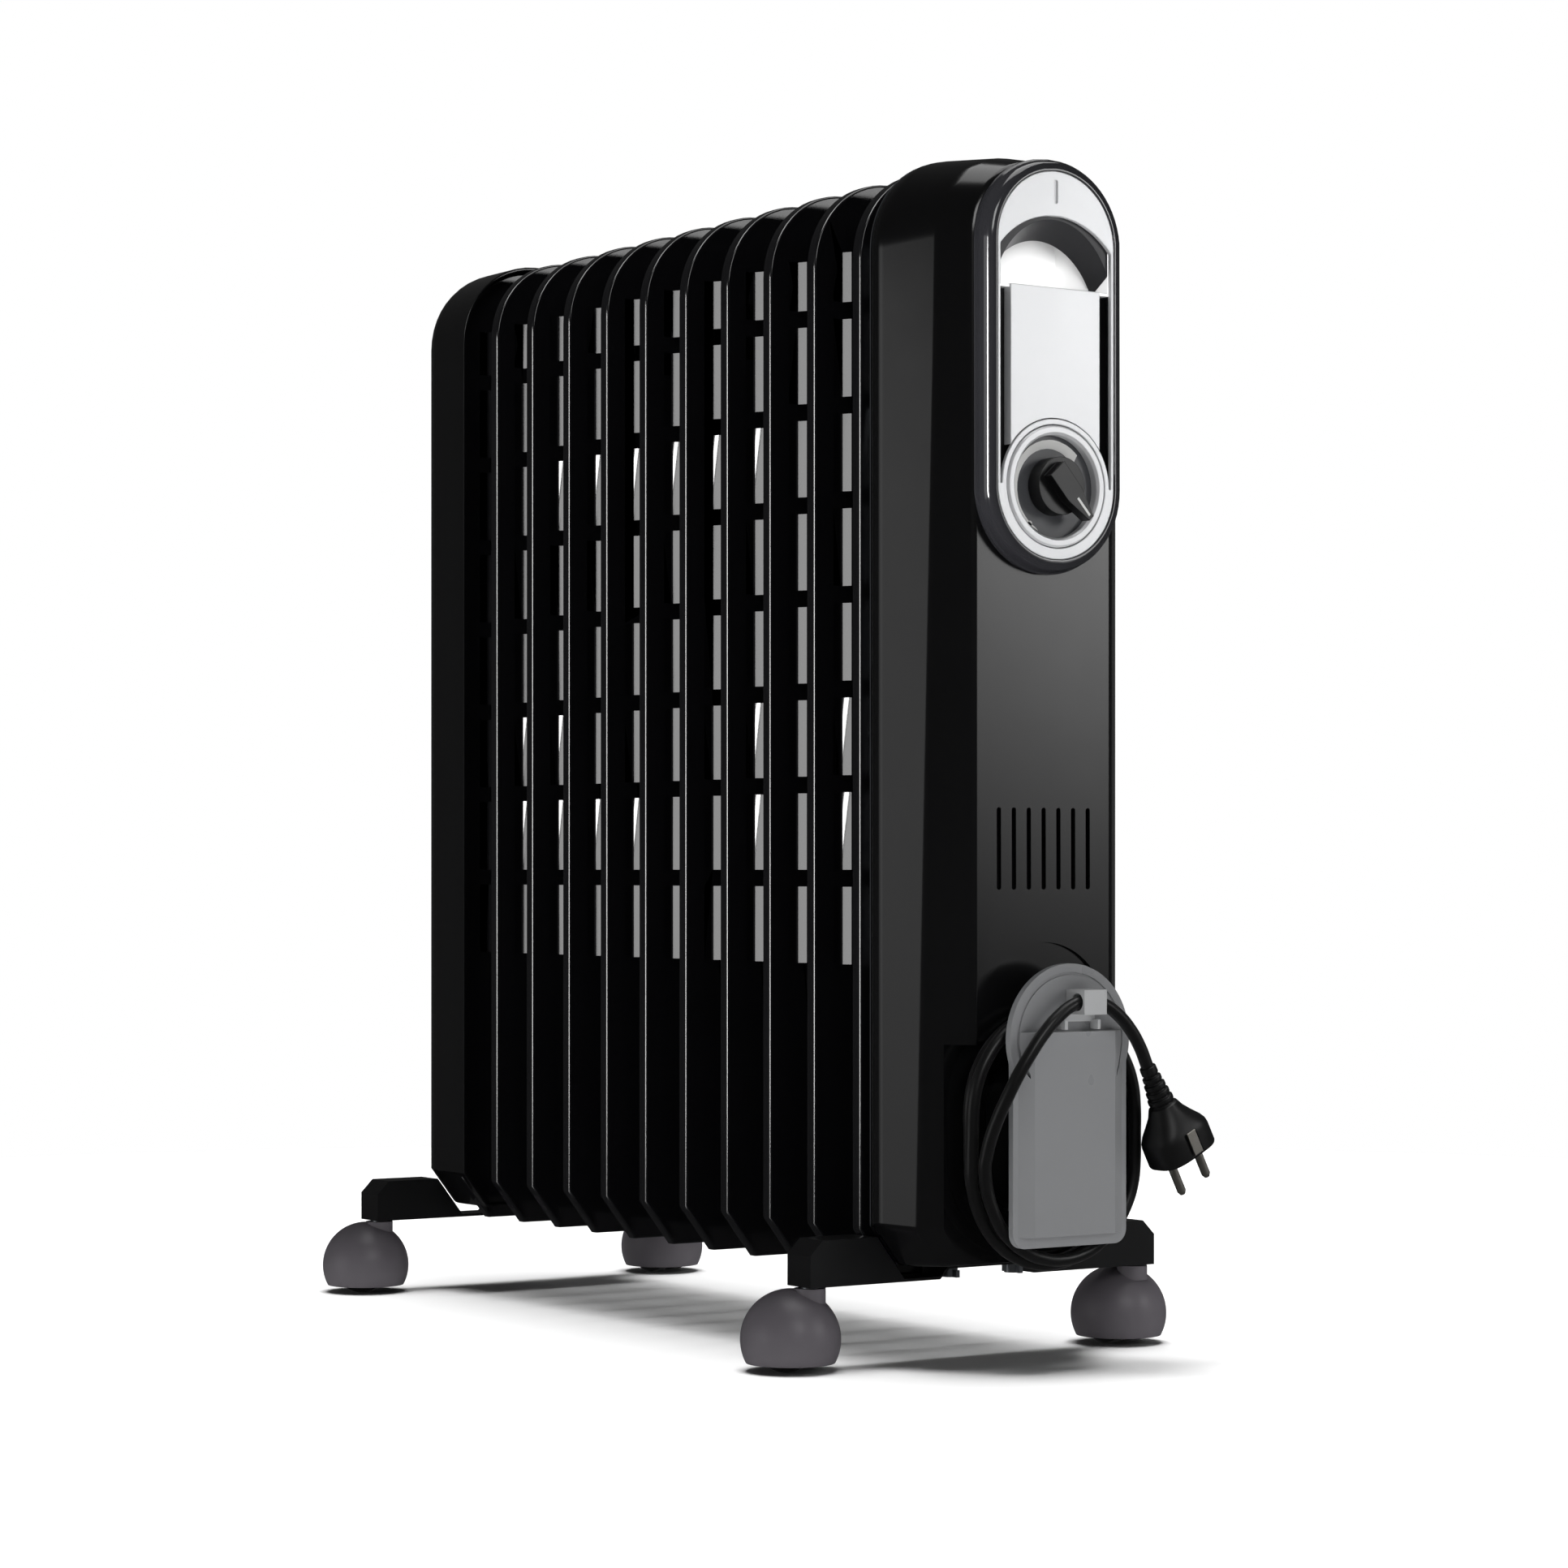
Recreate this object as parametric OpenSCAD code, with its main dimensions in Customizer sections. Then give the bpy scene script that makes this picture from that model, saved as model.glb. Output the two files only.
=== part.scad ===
// Oil filled radiator heater: a stack of pressed steel fins between two covers, with a control
// pod and a cord store on the front cover, standing on two cross feet and four twin wheel castors.
// Millimetres, +X to the right seen from the control end, +Y to the rear, +Z up from the floor.

/* [Fins] */
// Number of fins in the stack
fin_count = 11; // [11:1:11]
// Distance from one fin to the next
fin_pitch = 43.5; // [36:0.5:53]
// Width of a fin
fin_w = 150; // [124:1:182]
// Height of the top of the fins above the floor
fin_top = 646; // [600:1:780]
// Height of the bottom of the fins above the floor
fin_bottom = 47; // [46:0.5:52]
// Radius of the top corners of a fin
fin_corner_r = 50; // [30:1:60]
// Width of the slope at each bottom corner of a fin
bottom_slope_w = 20; // [14:1:26]
// Height of the slope at each bottom corner of a fin
bottom_slope_h = 26; // [18:1:34]
// Thickness of the fin sheet
web_t = 1.5; // [1:0.1:2.2]
// Depth of the folded rim of a fin
rim_d = 7; // [4:0.5:10]
// Thickness of the folded rim
rim_t = 1.2; // [0.8:0.1:2]

/* [Oil chambers] */
// Thickness of the oil chamber of a fin
chamber_t = 11; // [8:0.5:14]
// Width of the oil chamber
chamber_w = 82; // [66:1:88]
// Wall of the oil chamber
chamber_wall = 1.5; // [1:0.1:2]
// Height of the lower header above the floor
hub_low_z = 110; // [104:1:116]
// Distance from the top of the fins down to the upper header
hub_drop = 111; // [106:1:146]
// Outer radius of the collars that join the fins
collar_r = 19; // [16:0.5:23]
// Radius of the bore through the collars
hub_bore_r = 14; // [12:0.5:15]

/* [Air slots] */
// Distance from one air slot to the next, up the fin
slot_pitch = 52; // [44:0.5:58]
// Height of the steel bridge between two slots
slot_bridge = 9.4; // [6:0.2:12]
// Width of a slot
slot_w = 6; // [4:0.5:7]
// Distance from the edge of the fin to the middle of the slots
slot_inset = 20; // [16:0.5:22]
// Length of the vane bent out beside each slot
vane_len = 6; // [3:0.5:8]

/* [Covers] */
// How far each side of a cover stands out past the fins
cover_lap = 2; // [1.8:0.1:6]
// How far the covers rise above the fins
cover_rise = 4; // [3.6:0.1:10]
// Wall of the covers
cover_wall = 2; // [1.6:0.1:2.5]
// Distance from the edge of the first fin forwards to the flat front
front_stand = 64; // [60:0.5:78]
// Gap between the front cover and the first fin
cover_gap = 12; // [11.5:0.5:15]
// Width of the flat front
front_flat_w = 93.2; // [90:0.2:100]
// Depth of the rear cover
rear_cover_d = 57; // [48:1:64]

/* [Control pod] */
// Radius of the round ends of the pod
pod_r = 46.6; // [45:0.2:48]
// Radius of the round ends of the face inside the pod's rim
face_r = 39; // [38:0.2:40]
// Distance from the top of the covers down to the centre of the pod's top end
pod_drop = 50; // [48:1:60]
// Distance from the centre of the pod's top end down to the centre of the dial
dial_drop = 129; // [120:1:140]
// How far the pod stands out from the flat front
pod_stand = 11.5; // [10:0.5:14]
// Radius of the dial recess
dial_r = 27.5; // [25:0.5:28.5]
// Radius of the round part of the knob
knob_r = 15.5; // [13:0.5:18]
// Reach of the knob's pointer from its centre
pointer_r = 23; // [20:0.5:24]
// Radius of the thermostat's shaft
shaft_r = 3; // [2.5:0.1:3.5]

/* [Cord store] */
// Height of the middle of the cord winding above the floor
spool_z = 124; // [122:1:128]
// Half the straight length of the winding and its core
spool_straight = 14; // [12:0.5:16]
// Outer radius of the core
core_r = 30; // [28:0.5:31]
// Radius of the round top of the grey plate
plate_r = 40; // [37:0.5:42]
// Distance from the flat front to the plate's front face
plate_stand = 23; // [21:0.5:26]
// Thickness of the plate
plate_t = 4; // [3:0.5:5]
// Diameter of the mains cord
cord_d = 7; // [6.6:0.1:7.2]

/* [Feet and castors] */
// Half the length of a foot
foot_half = 117; // [105:1:138]
// Width of a foot along the stack
foot_w = 22; // [20:0.5:26]
// Height of the bottom edge of a foot above the floor
foot_z = 45; // [44.5:0.1:45.4]
// Height of the top of a foot's arms above the floor
arm_top = 70; // [66:0.5:71]
// Thickness of the foot's steel
foot_t = 1.8; // [1.5:0.1:1.8]
// Distance of the castor stems from the middle
castor_x = 110; // [98:1:131]
// Radius of a castor's hood
hood_r = 27; // [25:0.5:27]
// Radius of a castor wheel
wheel_r = 16.5; // [15.5:0.1:17]
// Thickness of a castor wheel
wheel_t = 11; // [8:0.5:12]
// Radius of a castor's stem
stem_r = 5; // [4:0.25:6]

/* [Hidden] */

$fn = 48;
run_clear = 0.05;   // running fit between a shaft and its bore, on the radius

// Sizes that follow the fins
cover_w = fin_w + 2 * cover_lap;
cover_top = fin_top + cover_rise;
hub_high_z = fin_top - hub_drop;
pod_top_z = cover_top - pod_drop;
dial_z = pod_top_z - dial_drop;

// Places along the stack, with the whole object centred on Y = 0
trail = [[-7, 8], [-1, 11], [-6.5, 6], [-2.5, 9.5]];  // hood centre from its stem
clip_stand = 15;         // cord clip, in front of the plate
bolt_r = 2.5;            // rods that hold the feet
bolt_x = collar_r + bolt_r;
plate_sheet = 0.8;       // sheet that closes the back of the front cover
bolt_ahead = (chamber_t / 2 - 0.5 + cover_gap - plate_sheet) / 2;  // bolts of the front foot
front_reach = front_stand + plate_stand + clip_stand;
rear_foot_from = (fin_count - 1) * fin_pitch + rear_cover_d - 12;
rear_reach = rear_foot_from + trail[3][1] + hood_r;
fin1_y = (front_reach - rear_reach) / 2;
function fin_y(k) = fin1_y + k * fin_pitch;
front_y = fin1_y - front_stand;
cover_rear_y = fin1_y - cover_gap;
rear_cover_y0 = fin_y(fin_count - 1) - 5;
rear_cover_y1 = rear_cover_y0 + rear_cover_d;
front_foot_y = fin1_y - bolt_ahead + 5;
rear_foot_y = fin1_y + rear_foot_from;

// Heights
neck_r = hub_bore_r + 2;        // headers' front ends, through the sheet behind the cover
chamber_low = hub_low_z - 25;
chamber_high = hub_high_z + 27;
bridge_top = fin_top - 72;      // topmost bridge between two slots
slot_count = 8;
bottom_recess_w = 66;           // raised middle of a fin's bottom edge, over the foot
bottom_recess_h = 9;
web_lift = 5.5;                 // how far the middle of a foot rises above its ends

// Pod
face_y = front_y - pod_stand + 0.5;
face_t = 2.5;
dial_floor_y = face_y + 5;
knob_bore_y = dial_floor_y - 8;
tray_y = dial_floor_y + 1.6;    // front of the dark plate that carries the dial
terminal_z = hub_high_z - 139;
cutout_z = hub_high_z - 185;
opening_half = face_r - 2;
arch_rise = 17;                 // height of the arch over its ends
arch_z = pod_top_z + 15;        // crown of the handle's opening
arch_r = (opening_half * opening_half + arch_rise * arch_rise) / (2 * arch_rise);
fascia_top = arch_z - 38;
grip_d = 14.5;                  // depth of the handle behind the face
liner_back_y = front_y + 39;
liner_wall = 1.6;

// Cord store
pocket_y = front_y + 12;        // floor of the recess
pocket_r = 44;
pocket_z = spool_z + 60;        // centre of the recess's round top
plate_y = front_y - plate_stand;
plate_top_z = spool_z + 53;     // centre of the plate's round top
plate_bottom = spool_z - 57;
coil_inner_r = core_r + 4;
coil_outer_r = 58;
coil_y0 = plate_y + plate_t + 0.6;
coil_y1 = coil_y0 + 2 * cord_d + 4;

// Cord routes, points chosen by hand along the middle of the cord with the flat front at
// Y = -271.25 and the winding's middle at Z = 124
function placed(route) = [for (p = route) p + [0, front_y + 271.25, spool_z - 124]];
lead_route = placed([[22, -264.5, 197], [22.5, -264.5, 190], [26, -264.5, 182], [32, -264.5, 173],
    [38, -264.6, 163], [42, -265, 152], [44.5, -266, 140], [45.5, -267.5, 128], [46, -270, 116]]);
tail_route = placed([[-50, -285.5, 108], [-50, -287.5, 118], [-49, -290.5, 128], [-47, -294, 138],
    [-44, -297.5, 148], [-39.5, -300.5, 159], [-33, -302.5, 170], [-25, -303.5, 180.5],
    [-15.5, -304, 189.5], [-5.5, -304, 195.5], [4.5, -304, 197.5], [14.5, -304, 195.5],
    [24, -304, 190], [32.5, -304, 182], [39.5, -304, 172], [44.5, -304, 161.5]]);
gland_tip = lead_route[0];
gland_r = 4.7;
plug_top = tail_route[len(tail_route) - 1];
pin_r = 2.4;                    // the plug's pins, and their inner ends
pin_shank_r = 2;
plug_tilt = 27;                 // the plug hangs this far from plumb, towards +X

// ---------------------------------------------------------------- helpers

// A flat outline in X and Z, made solid from y0 to y1
module along_y(y0, y1) {
    translate([0, y1, 0]) rotate([90, 0, 0]) linear_extrude(y1 - y0) children();
}

// A round bar along Y
module bar_y(r, y0, y1) {
    translate([0, y1, 0]) rotate([90, 0, 0]) cylinder(r = r, h = y1 - y0);
}

// The outline that fins and covers share: round top corners, sloped bottom corners
module panel_outline(w, top, r, bottom, slope_w, slope_h, inset = 0) {
    half = w / 2 - inset;
    rr = r - inset;
    top_z = top - inset;
    translate([-(half - rr), top_z - rr]) circle(rr);
    translate([half - rr, top_z - rr]) circle(rr);
    translate([-(half - rr), top_z - rr - 1]) square([2 * (half - rr), rr + 1]);
    polygon([[-half, top_z - rr], [-half, bottom + slope_h + inset / 3],
        [-half + slope_w, bottom + inset], [half - slope_w, bottom + inset],
        [half, bottom + slope_h + inset / 3], [half, top_z - rr]]);
}

module fin_outline(inset = 0) {
    panel_outline(fin_w, fin_top, fin_corner_r, fin_bottom, bottom_slope_w, bottom_slope_h, inset);
}

// A vertical slot shape with round ends, from z0 to z1 measured to its round centres
module pill(r, z0, z1) {
    translate([0, z0]) circle(r);
    translate([0, z1]) circle(r);
    translate([-r, z0]) square([2 * r, z1 - z0]);
}

// A ring with a profile swept round a pill shape. The profile is [radius, depth] with depth
// measured forwards from y
module pill_sweep(y, z0, z1, profile) {
    translate([0, y, z1]) rotate([90, 0, 0]) rotate_extrude(angle = 180) polygon(profile);
    translate([0, y, z0]) rotate([90, 0, 0]) rotate([0, 0, 180]) rotate_extrude(angle = 180)
        polygon(profile);
    for (side = [0, 1])
        mirror([side, 0, 0]) translate([0, y, z0]) linear_extrude(z1 - z0)
            polygon([for (p = profile) [p[0], -p[1]]]);
}

// A round tube along a list of points, as one closed mesh
function unit(v) = v / norm(v);
function heading(path, i) = unit(i == 0 ? path[1] - path[0]
    : i == len(path) - 1 ? path[i] - path[i - 1] : path[i + 1] - path[i - 1]);
function side_of(d) = unit(cross(d, abs(d[1]) < 0.9 ? [0, 1, 0] : [1, 0, 0]));
module tube_along(path, r, sides = 10) {
    points = [for (i = [0:len(path) - 1]) let (d = heading(path, i), a = side_of(d),
        b = cross(d, a)) for (k = [0:sides - 1])
            path[i] + r * (cos(360 * k / sides) * a + sin(360 * k / sides) * b)];
    faces = concat(
        [[for (k = [0:sides - 1]) k]],
        [for (i = [0:len(path) - 2]) for (k = [0:sides - 1])
            [i * sides + k, (i + 1) * sides + k, (i + 1) * sides + (k + 1) % sides,
                i * sides + (k + 1) % sides]],
        [[for (k = [sides - 1:-1:0]) (len(path) - 1) * sides + k]]);
    polyhedron(points = points, faces = faces, convexity = 4);
}

// ---------------------------------------------------------------- fins

function bridge_z(i) = bridge_top - i * slot_pitch;
function slot_low(i) = i < slot_count - 1 ? bridge_z(i) + slot_bridge / 2
    : bridge_z(i - 1) - slot_bridge / 2 - (slot_pitch - slot_bridge);
function slot_high(i) = i == 0 ? bridge_z(0) + 32 : bridge_z(i - 1) - slot_bridge / 2;

// Three upright oil ways between two headers
module chamber_outline(inset = 0) {
    way_w = (chamber_w - 12) / 3;
    header_h = 50;
    for (i = [-1, 0, 1])
        translate([i * (way_w + 6) - way_w / 2 + inset, chamber_low + 10])
            square([way_w - 2 * inset, chamber_high - chamber_low - 20]);
    for (z = [chamber_low, chamber_high - header_h])
        translate([-chamber_w / 2 + inset, z + inset])
            square([chamber_w - 2 * inset, header_h - 2 * inset]);
}

module fin(k) {
    y = fin_y(k);
    y_front = y - chamber_t / 2 + 0.5;
    y_back = y_front + chamber_t;
    first = k == 0;
    last = k == fin_count - 1;
    neck_y = y - cover_gap - 10;
    collar_end = last ? rear_foot_y - 1 : fin_y(k + 1) - chamber_t / 2 + 0.5;
    color("#141416") {
        difference() {
            union() {
                along_y(y, y + web_t) fin_outline();
                along_y(y, y + rim_d) difference() {
                    fin_outline();
                    fin_outline(rim_t);
                }
                along_y(y_front, y_back) chamber_outline();
                translate([0, 0, hub_low_z]) bar_y(collar_r, y_front + 1, collar_end);
                if (!last)
                    translate([0, 0, hub_high_z]) bar_y(collar_r, y_front + 1, collar_end);
                if (first)
                    for (z = [hub_low_z, hub_high_z])
                        translate([0, 0, z]) {
                            bar_y(collar_r, y - cover_gap + plate_sheet, y_front + 1);
                            bar_y(neck_r, neck_y, y_front + 1);
                        }
            }
            along_y(y_front + chamber_wall, y_back - chamber_wall) chamber_outline(chamber_wall);
            for (z = [hub_low_z, hub_high_z])
                translate([0, 0, z])
                    bar_y(hub_bore_r, first ? neck_y - 1 : y_front - 1,
                        last ? y_back - chamber_wall : collar_end + 1);
            translate([-bottom_recess_w / 2, y - 1, fin_bottom - 1])
                cube([bottom_recess_w, rim_d + 2, bottom_recess_h + 1]);
            for (side = [-1, 1], i = [0:slot_count - 1])
                translate([side * (fin_w / 2 - slot_inset) - slot_w / 2, y - 1, slot_low(i)])
                    cube([slot_w, web_t + 2, slot_high(i) - slot_low(i)]);
        }
        for (side = [0, 1], i = [0:slot_count - 1])
            mirror([side, 0, 0]) slot_vane(y, i);
    }
}

// The strip of sheet bent forwards beside a slot
module slot_vane(y, i) {
    x = -(fin_w / 2 - slot_inset) + slot_w / 2;
    translate([x, y + 0.5, slot_low(i)]) rotate([0, 0, 28])
        translate([0, -vane_len, 0]) cube([1, vane_len, slot_high(i) - slot_low(i)]);
}

// ---------------------------------------------------------------- covers

module cover_outline(w, top, r, inset = 0) {
    panel_outline(w, top, r, fin_bottom + 7, bottom_slope_w - 3, bottom_slope_h - 4, inset);
}

// Outside of the front cover: a wide rear edge, a crease that slants back as it goes down,
// and a narrow flat front
module front_form(inset, back) {
    crease_top_z = cover_top - 60;
    crease_low_z = fin_bottom + 30;
    hull() {
        along_y(cover_rear_y - 6, cover_rear_y + back)
            cover_outline(cover_w, cover_top, fin_corner_r + 2, inset);
        along_y(front_y + 16 + inset, front_y + 20 + inset)
            cover_outline(cover_w - 32, cover_top - 2, fin_corner_r - 6, inset);
        along_y(front_y + inset, front_y + 2 + inset)
            cover_outline(front_flat_w, cover_top - 5, fin_corner_r - 9, inset);
        for (side = [-1, 1]) {
            translate([side * (cover_w / 2 - 17 - inset), front_y + 14 + inset, crease_top_z])
                sphere(0.5, $fn = 8);
            translate([side * (cover_w / 2 - 10 - inset), front_y + 22.4 + inset, crease_low_z])
                sphere(0.5, $fn = 8);
        }
    }
}

// The recess for the wound cord: round at the top, wide open lower down
module pocket(grow) {
    along_y(front_y - 20, pocket_y + grow) {
        pill(pocket_r + grow, spool_z - 20, pocket_z);
        translate([-cover_w, fin_bottom - 20]) square([2 * cover_w, spool_z + 50 + grow - fin_bottom + 20]);
    }
}

module front_cover() {
    color("#1a1a1c") difference() {
        front_form(0, 0);
        pocket(0);
        difference() {
            front_form(cover_wall, 10);
            pocket(cover_wall);
        }
        // vents
        for (i = [-3:3])
            translate([i * 10 - 1.4, front_y - 5, spool_z + 132]) cube([2.8, 12, 44]);
        // opening behind the pod
        along_y(front_y - 5, front_y + 12) pill(face_r, dial_z, pod_top_z);
        // cord gland
        translate([gland_tip[0], gland_tip[1], pocket_z + 30]) cylinder(r = gland_r, h = 20);
    }
}

module rear_cover() {
    r = fin_corner_r + 2;
    color("#101012") difference() {
        rear_form(0, 0);
        rear_form(cover_wall - 0.4, 10);
        // the last fin's lower edge
        translate([-cover_w, rear_cover_y0 - 11, fin_bottom - 1])
            cube([2 * cover_w, rim_d + 16.4, bottom_slope_h + 5]);
        // room for the rear foot's bolts
        translate([-34, rear_foot_y - 22, fin_bottom]) cube([68, 60, 10]);
    }
}

module rear_form(inset, open) {
    hull() {
        along_y(rear_cover_y0 - open, rear_cover_y1 - 20)
            cover_outline(cover_w, cover_top - 1, fin_corner_r + 2, inset);
        along_y(rear_cover_y1 - 20, rear_cover_y1 - 7)
            cover_outline(cover_w - 8, cover_top - 4, fin_corner_r - 1, inset);
        along_y(rear_cover_y1 - 7, rear_cover_y1 - inset)
            cover_outline(cover_w - 30, cover_top - 13, fin_corner_r - 8, inset);
    }
}

module back_plate() {
    y = cover_rear_y;
    color("#b9bcc0") difference() {
        along_y(y, y + plate_sheet) cover_outline(cover_w, cover_top, fin_corner_r + 2, 0.4);
        for (z = [hub_low_z, hub_high_z])
            translate([0, 0, z]) bar_y(neck_r + 0.3, y - 1, y + 2);
    }
}

// ---------------------------------------------------------------- control pod

module pod_bezel() {
    d = pod_stand;
    inner = face_r;
    color("#3a3a3d") pill_sweep(front_y, dial_z, pod_top_z, [[inner, 0], [pod_r, 0],
        [pod_r, d - 5.5], [pod_r - 0.6, d - 4], [pod_r - 1.8, d - 2], [pod_r - 4, d - 0.5],
        [inner + 1.5, d], [inner, d]]);
}

// The hole in the face that the hand goes through, with the side gaps that run down to the dial
module hand_opening() {
    difference() {
        intersection() {
            translate([-opening_half, dial_z]) square([2 * opening_half, 200]);
            union() {
                translate([0, arch_z - arch_r]) circle(arch_r, $fn = 96);
                translate([-opening_half, dial_z]) square([2 * opening_half, arch_z - arch_r - dial_z]);
            }
        }
        translate([0, dial_z]) circle(dial_r + 8.5);
    }
}

module face_frame() {
    color("#c4c4c6") difference() {
        along_y(face_y, face_y + face_t) difference() {
            pill(face_r, dial_z, pod_top_z);
            hand_opening();
            translate([0, dial_z]) circle(dial_r + 5.5);
        }
        // grip mark at the crown
        translate([-0.8, face_y - 1, arch_z + 7]) cube([1.6, 2, 12]);
    }
}

module fascia_strip() {
    half = opening_half - 7;
    color("#d9d9da") difference() {
        along_y(face_y + 0.6, tray_y) difference() {
            translate([-half, dial_z]) square([2 * half, fascia_top - dial_z]);
            translate([0, dial_z]) circle(dial_r + 8.9);
        }
        // room for the floor of the hand pocket
        translate([-half - 1, face_y + face_t - 0.2, fascia_top - liner_wall - 0.2])
            cube([2 * half + 2, 10, 10]);
    }
}

// The closed pocket that the fingers reach into
module handle_liner() {
    y0 = face_y + face_t;
    color("#ececec") difference() {
        along_y(y0, liner_back_y) intersection() {
            pill(opening_half + liner_wall, dial_z, pod_top_z);
            translate([-60, fascia_top - liner_wall]) square([120, 38 + 2 * liner_wall]);
        }
        along_y(y0 - 1, liner_back_y - liner_wall) intersection() {
            pill(opening_half, dial_z, pod_top_z);
            translate([-60, fascia_top]) square([120, 38]);
        }
    }
}

// The dark plate behind the dial and the blank strip
module pod_tray() {
    color("#1f1f21") difference() {
        along_y(tray_y, tray_y + 1.6) intersection() {
            pill(face_r, dial_z, pod_top_z);
            translate([-60, dial_z - 60]) square([120, fascia_top - 2.2 - dial_z + 60]);
        }
        translate([0, 0, dial_z]) bar_y(7, tray_y - 1, tray_y + 3);
    }
}

// The arched grip behind the face
module carry_handle() {
    y0 = face_y + face_t;
    tilt = 33;
    color("#2c2c2e") difference() {
        intersection() {
            along_y(y0, y0 + grip_d) pill(opening_half - 0.3, dial_z, pod_top_z);
            translate([-60, y0, fascia_top + 0.3]) cube([120, grip_d, 37.4]);
        }
        translate([0, y0 - face_t, arch_z - arch_r]) rotate([-tilt, 0, 0])
            translate([0, 40, 0]) rotate([90, 0, 0]) cylinder(r = arch_r * cos(tilt), h = 80, $fn = 96);
        translate([-opening_half + 2, y0 - 1, dial_z])
            cube([2 * opening_half - 4, grip_d + 2, arch_z - 34 - dial_z]);
    }
}

module dial_bezel() {
    color("#d5d5d6") translate([0, dial_floor_y, dial_z]) rotate([90, 0, 0]) rotate_extrude()
        polygon([[dial_r, 0], [dial_r + 5.1, 0], [dial_r + 5.1, 4.6], [dial_r + 4.2, 5.8],
            [dial_r + 1.2, 5.8], [dial_r, 4.4]]);
}

module dial_plate() {
    color("#6e6e70") difference() {
        translate([0, 0, dial_z]) bar_y(dial_r + 5.1, dial_floor_y, tray_y);
        translate([0, 0, dial_z]) bar_y(shaft_r + 1, dial_floor_y - 1, dial_floor_y + 3);
    }
}

module thermostat_knob() {
    y1 = dial_floor_y - 0.5;
    y0 = y1 - 9.5;
    color("#1b1b1d") difference() {
        union() {
            translate([0, 0, dial_z]) bar_y(knob_r, y0, y1);
            translate([0, 0, dial_z]) rotate([0, 48, 0]) along_y(y0 - 6, y0 + 1)
                polygon([[-knob_r + 4, -6], [6, -6], [pointer_r, -2], [pointer_r, 2], [6, 6],
                    [-knob_r + 4, 6]]);
        }
        translate([0, 0, dial_z]) bar_y(shaft_r, knob_bore_y, y1 + 1);
    }
}

module thermostat_shaft() {
    color("#c9c9c9") translate([0, 0, dial_z]) bar_y(shaft_r, knob_bore_y, dial_floor_y + 12);
}

module thermostat_body() {
    y0 = tray_y;
    y1 = y0 + 24;
    color("#d8d2c4") difference() {
        union() {
            translate([-20, y0 + 1.6, dial_z - 18]) cube([40, y1 - y0 - 1.6, 36]);
            translate([0, 0, dial_z]) bar_y(6, y0, y0 + 4);
        }
        translate([0, 0, dial_z]) bar_y(shaft_r + run_clear, y0 - 1, dial_floor_y + 13);
    }
}

module safety_cutout() {
    color("#c8b070") {
        translate([0, 0, cutout_z]) bar_y(9, cover_rear_y - 4, cover_rear_y);
        for (x = [-4, 4])
            translate([x - 2, cover_rear_y - 9, cutout_z - 2]) cube([4, 6, 4]);
    }
}

module terminal_block() {
    color("#e4e0d4") difference() {
        translate([-22, cover_rear_y - 9, terminal_z]) cube([44, 9, 18]);
        for (x = [-14, 0, 14])
            translate([x, 0, terminal_z + 9]) bar_y(2.4, cover_rear_y - 10, cover_rear_y - 2);
    }
}

// Insulated wires from the terminals to the thermostat, the cut-out and the element
module wiring() {
    y = cover_rear_y - 6;
    thermostat_y = dial_floor_y + 16;
    top = terminal_z + 17.5;
    low = terminal_z + 0.5;
    pin_y = cover_rear_y - 20;
    color("#7a3b20") {
        tube_along([[-14, y, top], [-14, y - 2, top + 10], [-13, y - 10, top + 20],
            [-11, thermostat_y + 5, top + 28], [-10, thermostat_y, top + 34],
            [-10, thermostat_y, dial_z - 17.5]], 1.3, 8);
        tube_along([[0, y, low], [0, y, low - 8], [3, y - 0.5, low - 18], [4, y - 1, low - 28],
            [4, y - 1, cutout_z + 1.5]], 1.3, 8);
        tube_along([[14, y, low], [15, y - 1, low - 10], [20, y - 4, low - 30], [24, y - 8, low - 70],
            [24, y - 10, low - 150], [20, y - 12, hub_low_z + 60], [12, pin_y, hub_low_z + 25],
            [7, pin_y, hub_low_z + 10], [6, pin_y, hub_low_z + 1.5]], 1.3, 8);
    }
}

// A hairpin immersion element in the lower header, on its screwed flange
module heating_element() {
    y0 = cover_rear_y - 10;
    tip_y = fin_y(fin_count - 3);
    spread = 6;
    rod_r = 3.5;
    color("#9a8a78") difference() {
        union() {
            translate([0, 0, hub_low_z]) bar_y(neck_r + 2, y0 - 3, y0);
            translate([0, 0, hub_low_z]) bar_y(hub_bore_r - 0.3, y0 - 1, y0 + 5);
            for (x = [-spread, spread]) {
                translate([x, 0, hub_low_z]) bar_y(rod_r, y0, tip_y);
                translate([x, 0, hub_low_z]) bar_y(2, y0 - 14, y0);
            }
            translate([0, tip_y, hub_low_z]) rotate_extrude(angle = 180)
                translate([spread, 0]) circle(rod_r);
        }
        for (x = [-13, 13])
            translate([x, 0, hub_low_z]) bar_y(1.6, y0 - 4, y0 - 1);
    }
}

module oil_plug() {
    y0 = cover_rear_y - 10;
    color("#8d8f92") {
        translate([0, 0, hub_high_z]) bar_y(neck_r + 2, y0 - 2, y0);
        translate([0, y0 - 1, hub_high_z]) rotate([90, 0, 0]) cylinder(r = 11, h = 6, $fn = 6);
        translate([0, 0, hub_high_z]) bar_y(hub_bore_r - 0.3, y0 - 1, y0 + 5);
    }
}

// ---------------------------------------------------------------- cord store

module spool_core() {
    color("#222224") difference() {
        translate([0, 0, spool_z]) union() {
            along_y(plate_y + plate_t, pocket_y) pill(core_r, -spool_straight, spool_straight);
        }
        translate([0, 0, spool_z]) along_y(plate_y + plate_t + 2, pocket_y + 1)
            pill(core_r - 2.4, -spool_straight, spool_straight);
    }
}

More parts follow.
